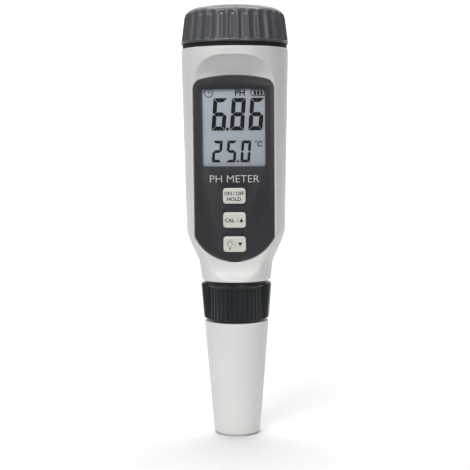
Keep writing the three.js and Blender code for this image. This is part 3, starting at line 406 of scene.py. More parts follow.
def metal(name, hex_colour, roughness, stretch, depth, stain=0.1):
    """Metal with fine lines from the roll or the lathe, and dull patches where it has been touched."""
    material, tree, shader, place = new_material(name)
    base = to_linear(hex_colour)
    tone = clouded(tree, place, 3.0, shaded(base, 1 - stain), shaded(base, 1 + stain / 2))
    tree.links.new(tone, shader.inputs["Base Color"])
    lines = add_node(tree, "ShaderNodeMapping", Vector=place, Scale=stretch).outputs["Vector"]
    drawn = uneven(tree, lines, 0.25, roughness * 0.7, roughness * 1.4, 2.0)
    tree.links.new(drawn, shader.inputs["Roughness"])
    press(tree, lines, shader, 0.25, depth)
    shader.inputs["Metallic"].default_value = 1.0
    return material


def clear(name, hex_colour, roughness, ior, ripple, size, cover=None):
    """A clear piece. Its surface is nearly flat, and faint ripples bend what is seen in it. A thin
    flat pane is given how much it covers, so that it dims what is behind it no more than a real one."""
    material, tree, shader, place = new_material(name)
    base = to_linear(hex_colour)
    tone = clouded(tree, place, size, shaded(base, 0.98), base, 1.0)
    smear = uneven(tree, place, 2.5, roughness * 0.6, roughness * 1.4)
    feed(tree, shader, tone, smear, ior)
    press(tree, place, shader, size, ripple, 1.0)
    if cover is None:
        shader.inputs["Transmission Weight"].default_value = 1.0
    else:
        shader.inputs["Alpha"].default_value = cover
    return material


def rubber(name, hex_colour, roughness, striped=False):
    """Moulded silicone. It is matt, with a bloom of paler dust. A zebra strip has carbon layers
    across it, drawn 0.5 mm apart because the real 0.1 mm would not show."""
    material, tree, shader, place = new_material(name)
    base = to_linear(hex_colour)
    tone = clouded(tree, place, 2.2, base, shaded(base, 1.7), 4.0, 0.6)
    if striped:
        layers = add_node(tree, "ShaderNodeTexWave", {"bands_direction": "X"}, Vector=place,
                          Scale=1 / (0.5 * MM) / WAVES_PER_UNIT).outputs["Fac"]
        striping = add_node(tree, "ShaderNodeMix", RGBA, _0=layers, _6=tone, _7=to_linear("#D8A6A0"))
        tone = striping.outputs[2]
    bloom = uneven(tree, place, 2.2, roughness, roughness * 1.15, 4.0, 0.6)
    feed(tree, shader, tone, bloom, 1.41)
    press(tree, place, shader, 0.3, 0.01)
    return material


def printed_film(name, hex_colour):
    """Polycarbonate film, printed on its back and fine matt on its face. It looks even and dark,
    with a soft wide sheen and a slight waviness where it is stuck down."""
    material, tree, shader, place = new_material(name)
    base = to_linear(hex_colour)
    tone = clouded(tree, place, 20.0, shaded(base, 0.95), shaded(base, 1.06))
    feed(tree, shader, tone, uneven(tree, place, 3.0, 0.42, 0.5, 4.0), 1.58)
    matt = press(tree, place, shader, 0.35, 0.004)
    press(tree, place, shader, 9.0, 0.02, 1.0, matt)
    return material


def ink(name, hex_colour, roughness):
    """Printed ink. It is thin and matt, and slightly patchy where the screen left less."""
    material, tree, shader, place = new_material(name)
    base = to_linear(hex_colour)
    feed(tree, shader, clouded(tree, place, 0.6, shaded(base, 0.93), base, 2.0),
         uneven(tree, place, 0.6, roughness, roughness * 0.85, 2.0), 1.5)
    press(tree, place, shader, 0.2, 0.003)
    return material


def display_cell(name, hex_colour):
    """A liquid-crystal cell over a diffusing reflector. It is a blue-grey that drifts a little lighter
    and darker in broad clouds, with the fine glitter of the polariser's matt face."""
    material, tree, shader, place = new_material(name)
    base = to_linear(hex_colour)
    glow = clouded(tree, place, 16.0, shaded(base, 0.96), shaded(base, 1.05), 1.0)
    glitter = flecked(tree, place, 0.22, 0.35, 0.65, 0.05, glow, shaded(base, 0.7), 2.0)
    feed(tree, shader, glitter, uneven(tree, place, 16.0, 0.5, 0.6, 1.0), 1.5)
    press(tree, place, shader, 0.2, 0.002)
    return material


def circuit_laminate(name):
    """Glass-epoxy laminate under green solder mask. Copper tracks show as paler lines, drawn
    0.6 mm wide because real ones are finer, and the mask gives a wet gloss."""
    material, tree, shader, place = new_material(name)
    mask = to_linear("#17502C")
    upright = add_node(tree, "ShaderNodeMapping", Vector=place, Rotation=(math.radians(90), 0, 0))
    tracks = add_node(tree, "ShaderNodeTexBrick", {"offset": 0.5}, Vector=upright.outputs["Vector"],
                      Scale=1 / (6.0 * MM), Mortar_Size=0.05, Color1=mask, Color2=shaded(mask, 0.85),
                      Mortar=shaded(mask, 1.6))
    feed(tree, shader, tracks.outputs["Color"], uneven(tree, place, 4.0, 0.18, 0.3), 1.52)
    raised = add_node(tree, "ShaderNodeBump", Height=tracks.outputs["Fac"], Strength=1.0,
                      Distance=0.03 * MM)
    tree.links.new(raised.outputs["Normal"], shader.inputs["Normal"])
    return material


def porous(name, hex_colour, size, depth, roughness, ior):
    """A porous body. Open cells or grains show as small hollows in a pale, quite matt surface, with
    painted shade darkening the colour in each hollow.
    """
    material, tree, shader, place = new_material(name)
    base = to_linear(hex_colour)
    foam = add_node(tree, "ShaderNodeTexVoronoi", Vector=place, Scale=1 / (size * MM))
    cells = foam.outputs["Distance"]
    # painted shade: the colour goes darker towards the middle of each cell, where the bump sinks the
    # hollow
    painted_pit_shade = add_node(tree, "ShaderNodeMix", RGBA, _0=cells, _6=shaded(base, 0.55), _7=shaded(base, 1.12))
    dull = add_node(tree, "ShaderNodeMix", RGBA, _0=uneven(tree, place, size * 6, 0.0, 0.35),
                    _6=painted_pit_shade.outputs[2], _7=shaded(base, 0.8))
    shine = add_node(tree, "ShaderNodeMapRange", Value=cells, From_Min=0.3, From_Max=0.7,
                     To_Min=roughness, To_Max=roughness * 0.9)
    feed(tree, shader, dull.outputs[2], shine.outputs["Result"], ior)
    sunk = add_node(tree, "ShaderNodeBump", Height=cells, Strength=1.0, Distance=depth * MM)
    tree.links.new(sunk.outputs["Normal"], shader.inputs["Normal"])
    return material


def paper_sweep(name, hex_colour):
    """A painted sweep of board under the meter. It is pale and matt, with a faint roller texture."""
    material, tree, shader, place = new_material(name)
    base = to_linear(hex_colour)
    feed(tree, shader, clouded(tree, place, 90.0, shaded(base, 0.985), base),
         uneven(tree, place, 90.0, 0.5, 0.6), 1.5)
    press(tree, place, shader, 1.5, 0.02)
    return material


FINISHES = {}


def finishes():
    """Every finish on the meter, made once and kept by its short name."""
    if FINISHES:
        return FINISHES
    scene = bpy.context.scene
    housing, panel, display = scene.ph_housing, scene.ph_panel, scene.ph_display
    keys, caps = scene.ph_keys, scene.ph_caps
    FINISHES.update({
        # light grey, spark-eroded tool: a dry even satin
        "housing": moulded("ABS, light grey, moulded satin", housing.plastic, 0.42, 0.35, 0.012,
                           mottle=0.012, specks=0.10),
        # the same resin in a polished tool, so the keys catch a clearer light
        "key": moulded("ABS, warm white, moulded", keys.plastic, 0.36, 0.3, 0.006, mottle=0.012),
        # dark resins show handling as paler, glossier patches
        "cap": moulded("ABS, dark grey, moulded satin", caps.cap_plastic, 0.31, 0.3, 0.008, mottle=0.05),
        "collar": moulded("ABS, charcoal, moulded satin", caps.collar_plastic, 0.32, 0.3, 0.008,
                          mottle=0.05),
        "inner": moulded("ABS, black, moulded", "#262629", 0.5, 0.3, 0.015, mottle=0.08),
        # the electrode's sleeve: black with a little gloss
        "sleeve": moulded("polycarbonate, black, moulded", "#1D1F22", 0.28, 0.5, 0.006, mottle=0.05,
                          ior=1.58),
        # filled epoxy, pressed: dull grey-black
        "chip": moulded("epoxy, black, transfer moulded", "#202023", 0.55, 0.12, 0.01, mottle=0.1,
                        ior=1.6),
        # white guide that spreads the light behind the display
        "guide": moulded("PMMA, white, moulded", "#F0EEE6", 0.3, 0.5, 0.005, mottle=0.02, ior=1.49),
        "red lead": moulded("PVC insulation, red, extruded", "#A82420", 0.35, 0.6, 0.01, mottle=0.06,
                            ior=1.53),
        "black lead": moulded("PVC insulation, black, extruded", "#1E1E20", 0.35, 0.6, 0.01, mottle=0.06,
                              ior=1.53),
        "rubber": rubber("silicone rubber, black, moulded", "#17171A", 0.6),
        "zebra": rubber("silicone, layered with carbon", "#1B1B1D", 0.6, striped=True),
        "film": printed_film("polycarbonate film, back printed", panel.film),
        "window": clear("polycarbonate, clear, polished", "#30343A", 0.06, 1.585, 0.002, 8.0, 0.06),
        "glass": clear("borosilicate glass, blown", "#F4FAF8", 0.02, 1.473, 0.01, 3.0),
        "cell": display_cell("liquid-crystal cell, matt polariser", display.ground),
        "lit": ink("liquid crystal, switched dark", display.ink, 0.45),
        "light print": ink("screen print, white", panel.print_colour, 0.5),
        "dark print": ink("pad print, dark grey", keys.print_colour, 0.5),
        "board": circuit_laminate("FR-4 laminate, green solder mask"),
        # drawn cans and screws: lines run round them
        "steel": metal("steel, nickel plated, drawn", "#C9C7C2", 0.26, (1.0, 1.0, 9.0), 0.004),
        "brass": metal("spring brass, stamped", "#C8A24E", 0.3, (1.0, 9.0, 9.0), 0.004, stain=0.2),
        "silver": metal("silver, chlorided wire", "#8E8680", 0.45, (1.0, 1.0, 4.0), 0.01, stain=0.3),
        "junction": porous("ceramic, unglazed, sintered", "#E6E0D2", 0.35, 0.02, 0.75, 1.6),
        # open cells of about half a millimetre, which drink the light
        "sponge": porous("polyurethane foam, open cell", "#E4D9B0", 0.8, 0.25, 0.9, 1.45),
        "temperature pin": metal("stainless steel, ground", "#BFC0C2", 0.24, (1.0, 1.0, 6.0), 0.003),
        "floor": paper_sweep("board, painted white, rolled", scene.ph_stage.floor),
    })
    return FINISHES


# ---------------------------------------------------------------- the panel's own plane

FLAT_DEPTH = 12.2
PANEL_CENTRE_Z = 120.0
PANEL_TILT = math.radians(2.5)
PANEL = Matrix.Translation((0, -FLAT_DEPTH, PANEL_CENTRE_Z)) @ Matrix.Rotation(PANEL_TILT, 4, "X")
POCKET_DEPTH = 1.0
FILM_FRONT, FILM_BACK = 0.25, 0.80
KEY_FACE = -0.6
KEY_FLANGE, KEY_BACK = 4.0, 4.6
WINDOW_HALF = (11.65, 14.225)
WINDOW_MIDDLE = -3.3
WINDOW_CORNER = 1.0
GLASS_FRONT, GLASS_BACK = 1.0, 3.2
GLASS_MARGIN = 1.3
FIT = 0.1  # clearance between pieces that fit into each other
KEY_GAP = 0.3
KEYS = {"key_power": "power_key", "key_calibrate": "calibrate_key", "key_light": "light_key"}
OVERLAY_TOP_CORNER, OVERLAY_LOW_CORNER = 3.5, 2.0
PRINT_THICK = 0.04
LIT_FRONT, LIT_THICK = 0.93, 0.06


def on_panel(x, v, depth):
    """A point on the panel: to the right, up, and how deep below the flat."""
    return PANEL @ Vector((x, depth, v))


def panel_height(node):
    """The height of a node's middle up the panel."""
    low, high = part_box(node)
    return (PANEL.inverted() @ ((low + high) / 2 / MM)).z


def arc(centre, radius, start, end, steps):
    """Points on an arc, from one angle to another."""
    angles = [start + (end - start) * step / steps for step in range(steps + 1)]
    return [(centre[0] + radius * math.cos(a), centre[1] + radius * math.sin(a)) for a in angles]


def rectangle(half_width, half_height, corner, middle=0.0, steps=6):
    """A rounded rectangle, as points anticlockwise."""
    x, v, quarter = half_width - corner, half_height - corner, math.pi / 2
    points = []
    for turn_index, (side, up) in enumerate(((1, -1), (1, 1), (-1, 1), (-1, -1))):
        start = (turn_index - 1) * quarter
        points += arc((side * x, middle + up * v), corner, start, start + quarter, steps)
    return points


def overlay_outline(grow=0.0):
    """The overlay's outline: straight sides, an arched top and a round bottom."""
    panel = bpy.context.scene.ph_panel
    half, arch_radius, bowl_radius = (value / MM for value in (
        panel.half_width, panel.top_radius, panel.bottom_radius))
    top_corner, low_corner = OVERLAY_TOP_CORNER, OVERLAY_LOW_CORNER
    arch = panel.top / MM - arch_radius
    bowl = panel_height("front_overlay") * 2 - panel.top / MM + bowl_radius
    top_x, low_x = half - top_corner, half - low_corner
    top_v = arch + math.sqrt((arch_radius - top_corner) ** 2 - top_x ** 2)
    low_v = bowl - math.sqrt((bowl_radius - low_corner) ** 2 - low_x ** 2)
    top_turn = math.atan2(top_v - arch, top_x)
    low_turn = math.atan2(low_v - bowl, low_x)
    return (arc((top_x, top_v), top_corner + grow, 0, top_turn, 10)
            + arc((0, arch), arch_radius + grow, top_turn, math.pi - top_turn, 30)[1:]
            + arc((-top_x, top_v), top_corner + grow, math.pi - top_turn, math.pi, 10)[1:]
            + arc((-low_x, low_v), low_corner + grow, math.pi, math.pi - low_turn, 8)
            + arc((0, bowl), bowl_radius + grow, math.pi - low_turn, 2 * math.pi + low_turn, 48)[1:]
            + arc((low_x, low_v), low_corner + grow, low_turn, 0, 8)[1:])


def loft(name, sections, material, sharp_angle=32, all_round=False):
    """Joins closed outlines of as many points each. The ends are closed, or joined to each other."""
    count, levels = len(sections[0]), len(sections)
    vertices = [point for section in sections for point in section]
    faces = [] if all_round else [list(range(count)), list(range(len(vertices) - count, len(vertices)))]
    for level in range(levels if all_round else levels - 1):
        here, there = level * count, (level + 1) % levels * count
        faces += [[here + k, here + (k + 1) % count, there + (k + 1) % count, there + k]
                  for k in range(count)]
    return make_object(name, vertices, faces, material, sharp_angle)


def panel_plate(name, outline, front, back, material):
    """A plate of one outline, between two depths below the flat."""
    return loft(name, [[on_panel(x, v, depth) for x, v in outline] for depth in (front, back)], material)


def cutter(outline, front, back):
    """A plate that cuts a hole."""
    return panel_plate("cutter", outline, front, back, finishes()["inner"])


def key_outline(node, grow):
    """A key's outline on the panel, grown all round."""
    keys = bpy.context.scene.ph_keys
    return rectangle(keys.width / MM / 2 + grow, keys.height / MM / 2 + grow,
                     max(0.15, keys.corner / MM + grow), panel_height(node))


def join(name, pieces, material):
    """Makes one mesh of several."""
    shape = bmesh.new()
    for piece in pieces:
        shape.from_mesh(piece.data)
        bpy.data.objects.remove(piece)
    mesh = bpy.data.meshes.new(name)
    shape.to_mesh(mesh)
    shape.free()
    whole = add_object(name, mesh)
    mesh.materials.append(material)
    smooth(whole)
    return whole


def lettering(text, x, v, width, height, front, thickness, material, lean=0.0, weight=0.0):
    """A word in relief on the panel. Its middle, width and height are given, and its front's depth."""
    curve = bpy.data.curves.new("word", "FONT")
    curve.body = text
    curve.resolution_u = 4
    curve.offset = weight
    curve.extrude = 0.5
    word = apply_curve(add_object("word", curve))
    points = [vertex.co.copy() for vertex in word.data.vertices]
    low = Vector([min(p[axis] for p in points) for axis in range(3)])
    high = Vector([max(p[axis] for p in points) for axis in range(3)])
    middle, size = (low + high) / 2, high - low
    for vertex, point in zip(word.data.vertices, points):
        across = (point.x - middle.x) / size.x * width
        up = (point.y - middle.y) / size.y * height
        depth = front + thickness * (0.5 - (point.z - middle.z) / size.z)
        vertex.co = on_panel(x + across + up * math.tan(lean), v + up, depth) * MM
    close_up(word.data)
    word.data.materials.append(material)
    return word


def apply_curve(piece):
    """Turns a text or curve object into a mesh object of the same name, in place."""
    depsgraph = bpy.context.evaluated_depsgraph_get()
    mesh = bpy.data.meshes.new_from_object(piece.evaluated_get(depsgraph), depsgraph=depsgraph)
    name = piece.name
    bpy.data.objects.remove(piece)
    return add_object(name, mesh)


def mark(points, front, thickness, material):
    """A flat mark in relief on the panel, from its outline."""
    return panel_plate("mark", points, front, front + thickness, material)


def stroke(start, end, width, front, thickness, material):
    """A straight line in relief on the panel."""
    along = (Vector(end) - Vector(start)).normalized() * width / 2
    side = Vector((-along.y, along.x))
    a, b = Vector(start), Vector(end)
    return mark([a - side, b - side, b + side, a + side], front, thickness, material)


def hoop(centre, radius, width, front, thickness, material, start=0.0, end=2 * math.pi, steps=40):
    """An arc of even width in relief on the panel, closed where it goes all the way round."""
    whole = abs(end - start - 2 * math.pi) < 1e-6
    outer = arc(centre, radius + width / 2, start, end, steps)
    inner = arc(centre, radius - width / 2, start, end, steps)
    back = front + thickness
    rings = [[on_panel(*out, front), on_panel(*out, back), on_panel(*into, back), on_panel(*into, front)]
             for out, into in zip(outer, inner)]
    return loft("hoop", rings[:-1] if whole else rings, material, all_round=whole)


# ---------------------------------------------------------------- the housing

SHELL_GAP = 0.1
SEAM_CHAMFER = 0.16
SEAM_ANGLES = math.radians(0.35), math.radians(1.0)
BACK_COLUMNS = 48
FRONT_WALL = 1.8
LOW_LIP, HIGH_LIP = HOUSING_BOTTOM + 2.0, HOUSING_TOP - 1.2
LOW_BORE_R, HIGH_BORE_R = 8.8, 16.85
SHOULDER_FOOT_PULL = (0.14, 0.19)  # outwards and up, as shares of the shoulder
SHOULDER_HEAD_PULL = (0.10, 0.32)  # inwards and down
TOP_COVE_Z = HOUSING_TOP - 10.1
LOWER_COVE_Z = HOUSING_BOTTOM + 7.5
TOP_COVE_ROUNDS, LOWER_COVE_ROUNDS = 4.5, 3.0  # how far past the coves the flat's edge stays soft
ARCH_DROP = 0.022  # how fast the top cove's edge drops to either side, per millimetre
FLAT_HALF_WIDTH = 12.8
SOFTNESS_ALONG_SIDES = 0.45
LEAST_EDGE_ANGLE = math.radians(44)
LEAST_COSINE = 0.05  # nearer the seam than this the flat is too far out to matter


def smooth_least(a, b, softness):
    """The smaller of two lengths, blended where they are nearly equal."""
    overlap = max(0.0, 1 - abs(a - b) / softness)
    return min(a, b) - overlap ** 2 * softness / 4


def housing_profile():
    """The housing's round outline, as (radius, height) from the bottom up."""
    housing = bpy.context.scene.ph_housing
    bottom, throat, belly = (value / MM for value in (
        housing.bottom_radius, housing.throat_radius, housing.belly_radius))
    throat_z = HOUSING_BOTTOM + housing.throat_length / MM
    shoulder = housing.shoulder_length / MM
    grow = belly - throat
    foot_out, foot_up = SHOULDER_FOOT_PULL
    head_in, head_down = SHOULDER_HEAD_PULL
    ends = [Vector((throat, throat_z)), Vector((throat + foot_out * grow, throat_z + foot_up * shoulder)),
            Vector((belly - head_in * grow, throat_z + (1 - head_down) * shoulder)),
            Vector((belly, throat_z + shoulder))]
    profile = [(bottom - 0.3, HOUSING_BOTTOM), (bottom, HOUSING_BOTTOM + 0.3)]
    steps = 28
    for step in range(steps + 1):
        t = step / steps
        weights = ((1 - t) ** 3, 3 * t * (1 - t) ** 2, 3 * t * t * (1 - t), t ** 3)
        point = sum((end * weight for end, weight in zip(ends, weights)), Vector((0, 0)))
        profile.append((point.x, point.y))
    band = HOUSING_TOP - housing.top_band / MM
    profile += [(HOUSING_TOP_R, band), (HOUSING_TOP_R, HOUSING_TOP - 0.5),
                (HOUSING_TOP_R - 0.15, HOUSING_TOP - 0.15), (HOUSING_TOP_R - 0.5, HOUSING_TOP)]
    return profile


def at_height(profile, z):
    """The radius of a profile at a height."""
    for (r0, z0), (r1, z1) in zip(profile, profile[1:]):
        if z0 <= z <= z1:
            return r0 + (r1 - r0) * (z - z0) / max(1e-9, z1 - z0)
    return profile[-1][0] if z > profile[-1][1] else profile[0][0]


def flat_depth(z, x=0.0):
    """How far in front of the axis the flat and its two coves lie, or None beyond them. The top cove
    drops to either side, so its edge is an arch."""
    housing = bpy.context.scene.ph_housing
    rise, drop = z + ARCH_DROP * x ** 2 - TOP_COVE_Z, LOWER_COVE_Z - z
    flat_z = max(min(z, TOP_COVE_Z), LOWER_COVE_Z)
    flat = FLAT_DEPTH + (flat_z - PANEL_CENTRE_Z) * math.tan(PANEL_TILT)
    past, cove = (rise, housing.top_cove / MM) if rise > 0 else (drop, housing.lower_cove / MM)
    if past <= 0:
        return flat
    return None if past >= cove else flat + cove - math.sqrt(cove ** 2 - past ** 2)


def housing_heights():
    """Heights of the rows of points: close together where the coves are, wide apart on the straight."""
    zones = ((HOUSING_BOTTOM + 0.3, 68.0, 0.28), (68.0, 80.0, 0.6), (80.0, 130.0, 2.5),
             (130.0, HOUSING_TOP - 0.5, 0.28))
    heights = {HOUSING_BOTTOM, HOUSING_TOP, HOUSING_TOP - 0.15}
    for low, high, pitch in zones:
        count = max(1, round((high - low) / pitch))
        heights |= {low + (high - low) * step / count for step in range(count + 1)}
    return sorted(heights)


def housing_radius(profile, z, angle):
    """The housing's outside at a height and an angle from the front."""
    radius = at_height(profile, z)
    if math.cos(angle) < LEAST_COSINE:
        return radius
    depth = flat_depth(z, min(radius * math.sin(abs(angle)), FLAT_HALF_WIDTH * math.tan(abs(angle))))
    if depth is None:
        return radius
    near_cove = z > TOP_COVE_Z - TOP_COVE_ROUNDS or z < LOWER_COVE_Z + LOWER_COVE_ROUNDS
    softness = bpy.context.scene.ph_housing.edge / MM if near_cove else SOFTNESS_ALONG_SIDES
    return smooth_least(radius, depth / math.cos(angle), softness)


def front_angles(profile, z):
    """Angles of the columns of points across the front at a height, gathered at the flat's edges."""
    radius, depth = at_height(profile, z), flat_depth(z)
    edge = math.acos(depth / radius) if depth is not None and depth < radius else 0.0
    edge = max(edge, LEAST_EDGE_ANGLE)
    flat = [edge * (step / 40) for step in range(39)]
    turn_over = [edge + math.radians(offset) for offset in (-1.1, -0.6, -0.2, 0.2, 0.6, 1.1)]
    last = turn_over[-1]
    side = [last + (math.pi / 2 - last) * step / 14 for step in range(1, 14)]
    seam = [math.pi / 2 - angle for angle in (*reversed(SEAM_ANGLES), 0.0)]
    half = flat + turn_over + side + seam
    return [-angle for angle in reversed(half[1:])] + half


def shell(name, front):
    """One shell of the housing: a closed wall, with a lip at each end and a chamfer along the seam."""
    profile, heights = housing_profile(), housing_heights()
    wall = bpy.context.scene.ph_housing.wall / MM
    even = [math.pi * step / BACK_COLUMNS for step in range(1, BACK_COLUMNS)]
    half_turn = [0.0, *SEAM_ANGLES, *even, *(math.pi - angle for angle in reversed(SEAM_ANGLES)), math.pi]
    back_angles = [angle - math.pi / 2 for angle in half_turn]
    angles = {z: front_angles(profile, z) if front else back_angles for z in heights}
    count = len(angles[heights[0]])
    facing = -1 if front else 1

    def place(radius, angle, z, at_seam):
        depth = SHELL_GAP / 2 if at_seam else max(radius * math.cos(angle), SHELL_GAP / 2)
        return (radius * math.sin(angle), facing * depth, z)

    columns = []
    for column in range(count):
        at_seam = column in (0, count - 1)
        chamfer = SEAM_CHAMFER if at_seam else 0.0
        loop = []
        for z in heights:
            angle = angles[z][column]
            outside = housing_radius(profile, z, angle) if front else at_height(profile, z)
            loop.append(place(outside - chamfer, angle, z, at_seam))
        inner = []
        for z in [height for height in heights if LOW_LIP < height < HIGH_LIP][::2]:
            angle = angles[z][column]
            inside = at_height(profile, z) - wall
            depth = flat_depth(z) if front else None
            if depth is not None and math.cos(angle) > LEAST_COSINE:
                inside = smooth_least(inside, (depth - FRONT_WALL) / math.cos(angle), 0.5)
            inner.append((max(inside, LOW_BORE_R + 0.4), angle, z))
        top_radius, top_angle = inner[-1][:2]
        low_radius, low_angle = inner[0][:2]
        inner = ([(HIGH_BORE_R, top_angle, HOUSING_TOP), (HIGH_BORE_R, top_angle, HIGH_LIP),
                  (top_radius, top_angle, HIGH_LIP)] + inner[::-1]
                 + [(low_radius, low_angle, LOW_LIP), (LOW_BORE_R, low_angle, LOW_LIP),
                    (LOW_BORE_R, low_angle, HOUSING_BOTTOM)])
        loop += [place(radius, angle, z, at_seam) for radius, angle, z in inner]
        columns.append(loop)
    return loft(name, columns, finishes()["housing"], 30)


# ---------------------------------------------------------------- geometry nodes

FOOT_RUN_OUT = 0.25  # how short the grooves run out at the foot, against the head


def rib_tree():
    """Presses grooves into a round piece between two heights, and leaves its wings alone."""
    tree = bpy.data.node_groups.new("ribs round a piece", "GeometryNodeTree")
    sizes = ("Depth", "Low", "High", "Run out", "Wing half width", "Least radius", "Crown share",
             "Flank share")
    sockets = {"Geometry": "NodeSocketGeometry", "Ribs": "NodeSocketInt",
               **{name: "NodeSocketFloat" for name in sizes}, "Material": "NodeSocketMaterial"}
    for name, kind in sockets.items():
        tree.interface.new_socket(name, in_out="INPUT", socket_type=kind)
    tree.interface.new_socket("Geometry", in_out="OUTPUT", socket_type="NodeSocketGeometry")
    given = add_node(tree, "NodeGroupInput").outputs
    position = add_node(tree, "GeometryNodeInputPosition").outputs[0]
    parts = add_node(tree, "ShaderNodeSeparateXYZ", Vector=position).outputs
    level = add_node(tree, "ShaderNodeCombineXYZ", X=parts["X"], Y=parts["Y"]).outputs[0]
    radius = add_node(tree, "ShaderNodeVectorMath", {"operation": "LENGTH"}, _0=level).outputs["Value"]

    values = {name: given[name] for name in ("Ribs", *sizes)}
    values.update(x=parts["X"], y=parts["Y"], z=parts["Z"], radius=radius)
    # each row is a result, how it is worked out and what from: the place in a rib, from 0 at its crown
    # to 1 in the groove, then the heights where the grooves are full, and what the grooves keep off
    for result, operation, *operands in (
            ("angle", "ARCTAN2", "y", "x"), ("turns", "DIVIDE", "angle", 2 * math.pi),
            ("ribs passed", "MULTIPLY", "turns", "Ribs"), ("from a rib", "ADD", "ribs passed", 100.5),
            ("phase", "FRACT", "from a rib"), ("off middle", "SUBTRACT", "phase", 0.5),
            ("either way", "ABSOLUTE", "off middle"), ("in rib", "MULTIPLY", "either way", 2.0),
            ("flank end", "ADD", "Crown share", "Flank share"),
            ("foot end", "MULTIPLY_ADD", "Run out", FOOT_RUN_OUT, "Low"),
            ("head start", "SUBTRACT", "High", "Run out"), ("across", "ABSOLUTE", "y"),
            ("clear of wing", "GREATER_THAN", "across", "Wing half width"),
            ("outside", "GREATER_THAN", "radius", "Least radius")):
        fed = {f"_{index}": values.get(operand, operand) for index, operand in enumerate(operands)}
        values[result] = add_node(tree, "ShaderNodeMath", {"operation": operation}, **fed).outputs[0]
    for result, value, start, end, first, last in (
            ("groove", "in rib", "Crown share", "flank end", 0.0, 1.0),
            ("foot", "z", "Low", "foot end", 0.0, 1.0), ("head", "z", "head start", "High", 1.0, 0.0)):
        values[result] = add_node(tree, "ShaderNodeMapRange", {"interpolation_type": "SMOOTHSTEP"},
                                  Value=values[value], From_Min=values[start], From_Max=values[end],
                                  To_Min=first, To_Max=last).outputs["Result"]
    depth = -1.0
    for factor in ("Depth", "groove", "foot", "head", "clear of wing", "outside"):
        depth = add_node(tree, "ShaderNodeMath", {"operation": "MULTIPLY"}, _0=depth,
                         _1=values[factor]).outputs[0]
    outward = add_node(tree, "ShaderNodeVectorMath", {"operation": "NORMALIZE"}, _0=level).outputs[0]
    move = add_node(tree, "ShaderNodeVectorMath", {"operation": "SCALE"}, _0=outward, Scale=depth)
    moved = add_node(tree, "GeometryNodeSetPosition", Geometry=given["Geometry"], Offset=move.outputs[0])
    real = add_node(tree, "GeometryNodeRealizeInstances", Geometry=moved.outputs[0])
    finished = add_node(tree, "GeometryNodeSetMaterial", Geometry=real.outputs[0],
                        Material=given["Material"])
    add_node(tree, "NodeGroupOutput", Geometry=finished.outputs[0])
    return tree


def press_ribs(piece, material, **sizes):
    """Runs the rib tree on a piece and keeps the result as a plain mesh."""
    tree = bpy.data.node_groups.get("ribs round a piece") or rib_tree()
    modifier = piece.modifiers.new("ribs", "NODES")
    modifier.node_group = tree
    sockets = {item.name: item.identifier for item in tree.interface.items_tree if item.in_out == "INPUT"}
    for name, value in {**sizes, "material": material}.items():
        modifier[sockets[name.replace("_", " ").capitalize()]] = value
    apply_modifiers(piece)
    smooth(piece, 50)
    return piece


# ---------------------------------------------------------------- the round pieces

COLUMNS_PER_RIB = 10
NO_WING = -1.0
CAP_BORE_R, CAP_ROOM_R, CAP_HUB_R = 18.3, 17.3, 6.0
CAP_ROOF = 3.4
# the cap's dome from its shoulder inwards: radius, distance below the crown, softness of the bend
CAP_DOME = ((18.95, 4.6, 1.0), (18.5, 3.3, 1.0), (17.3, 2.0, 1.5), (15.4, 1.05, 2.5), (12.0, 0.45, 4.0),
            (7.0, 0.1, 4.0))
COLLAR_BORE_R, COLLAR_SEAT_R, COLLAR_SEAT = 9.9, 8.95, 1.5
COLLAR_DRUM_R, COLLAR_RIM_R = 11.2, 11.55
WING_HALF, WING_FOOT_R, WING_ROUND, WING_SIDE_ROUND = 4.0, 12.45, 0.9, 0.5
# rows of points across the collar's rounded ends, as distances from its foot and from its head
COLLAR_FOOT_ROWS = (0.0, 0.1, 0.25, 0.39, 0.42, 0.5, 0.65, 0.85, 1.1, 1.45, 1.55, 2.1, 3.0)
COLLAR_HEAD_ROWS = (1.8, 1.5, 1.3, 1.22, 1.0, 0.7, 0.4, 0.2, 0.08, 0.0)
SENSOR_CAP_FOOT_R, SENSOR_CAP_BOW = 8.75, 0.1
SENSOR_CAP_BORE_R, SENSOR_CAP_SEAT_Z = 8.87, 35.0
SENSOR_CAP_FLOOR = 1.6
SEAL_BORE_R = 17.5


def with_rows(path, low, high, count):
    """Puts more points on the long steps of a path between two heights."""
    result = [path[0]]
    for (r0, z0), (r1, z1) in zip(path, path[1:]):
        inside = min(z0, z1) >= low - 1e-6 and max(z0, z1) <= high + 1e-6
        pieces = max(1, math.ceil(abs(z1 - z0) / (high - low) * count)) if inside else 1
        shares = [k / pieces for k in range(1, pieces + 1)]
        result += [(r0 + (r1 - r0) * share, z0 + (z1 - z0) * share) for share in shares]
    return result


def battery_cap_path():
    """The cap's section, from the axis at the ceiling, down the bore and up the outside."""
    ceiling, hub_end = CAP_TOP - CAP_ROOF, span("contact_disc", Z_AXIS)[1] + FIT
    above_neck = span("neck_ring", Z_AXIS)[1] + 0.5
    inside = [(0, hub_end), (CAP_HUB_R, hub_end), (CAP_HUB_R, ceiling), (CAP_ROOM_R - 0.5, ceiling),
              (CAP_ROOM_R, ceiling - 0.8), (CAP_ROOM_R, above_neck + 0.5), (CAP_BORE_R, above_neck),
              (CAP_BORE_R, CAP_BOTTOM)]
    corners = [(CAP_BORE_R, CAP_BOTTOM, 0), (CAP_R, CAP_BOTTOM, 0.15), (CAP_R, CAP_BOTTOM + 0.65, 0.1),
               (CAP_R - 0.07, CAP_BOTTOM + 0.8, 0.1)]
    corners += [(radius, CAP_TOP - below, softness) for radius, below, softness in CAP_DOME]
    corners.append((0, CAP_TOP, 0))
    return inside + rounded(corners, 4)[1:]


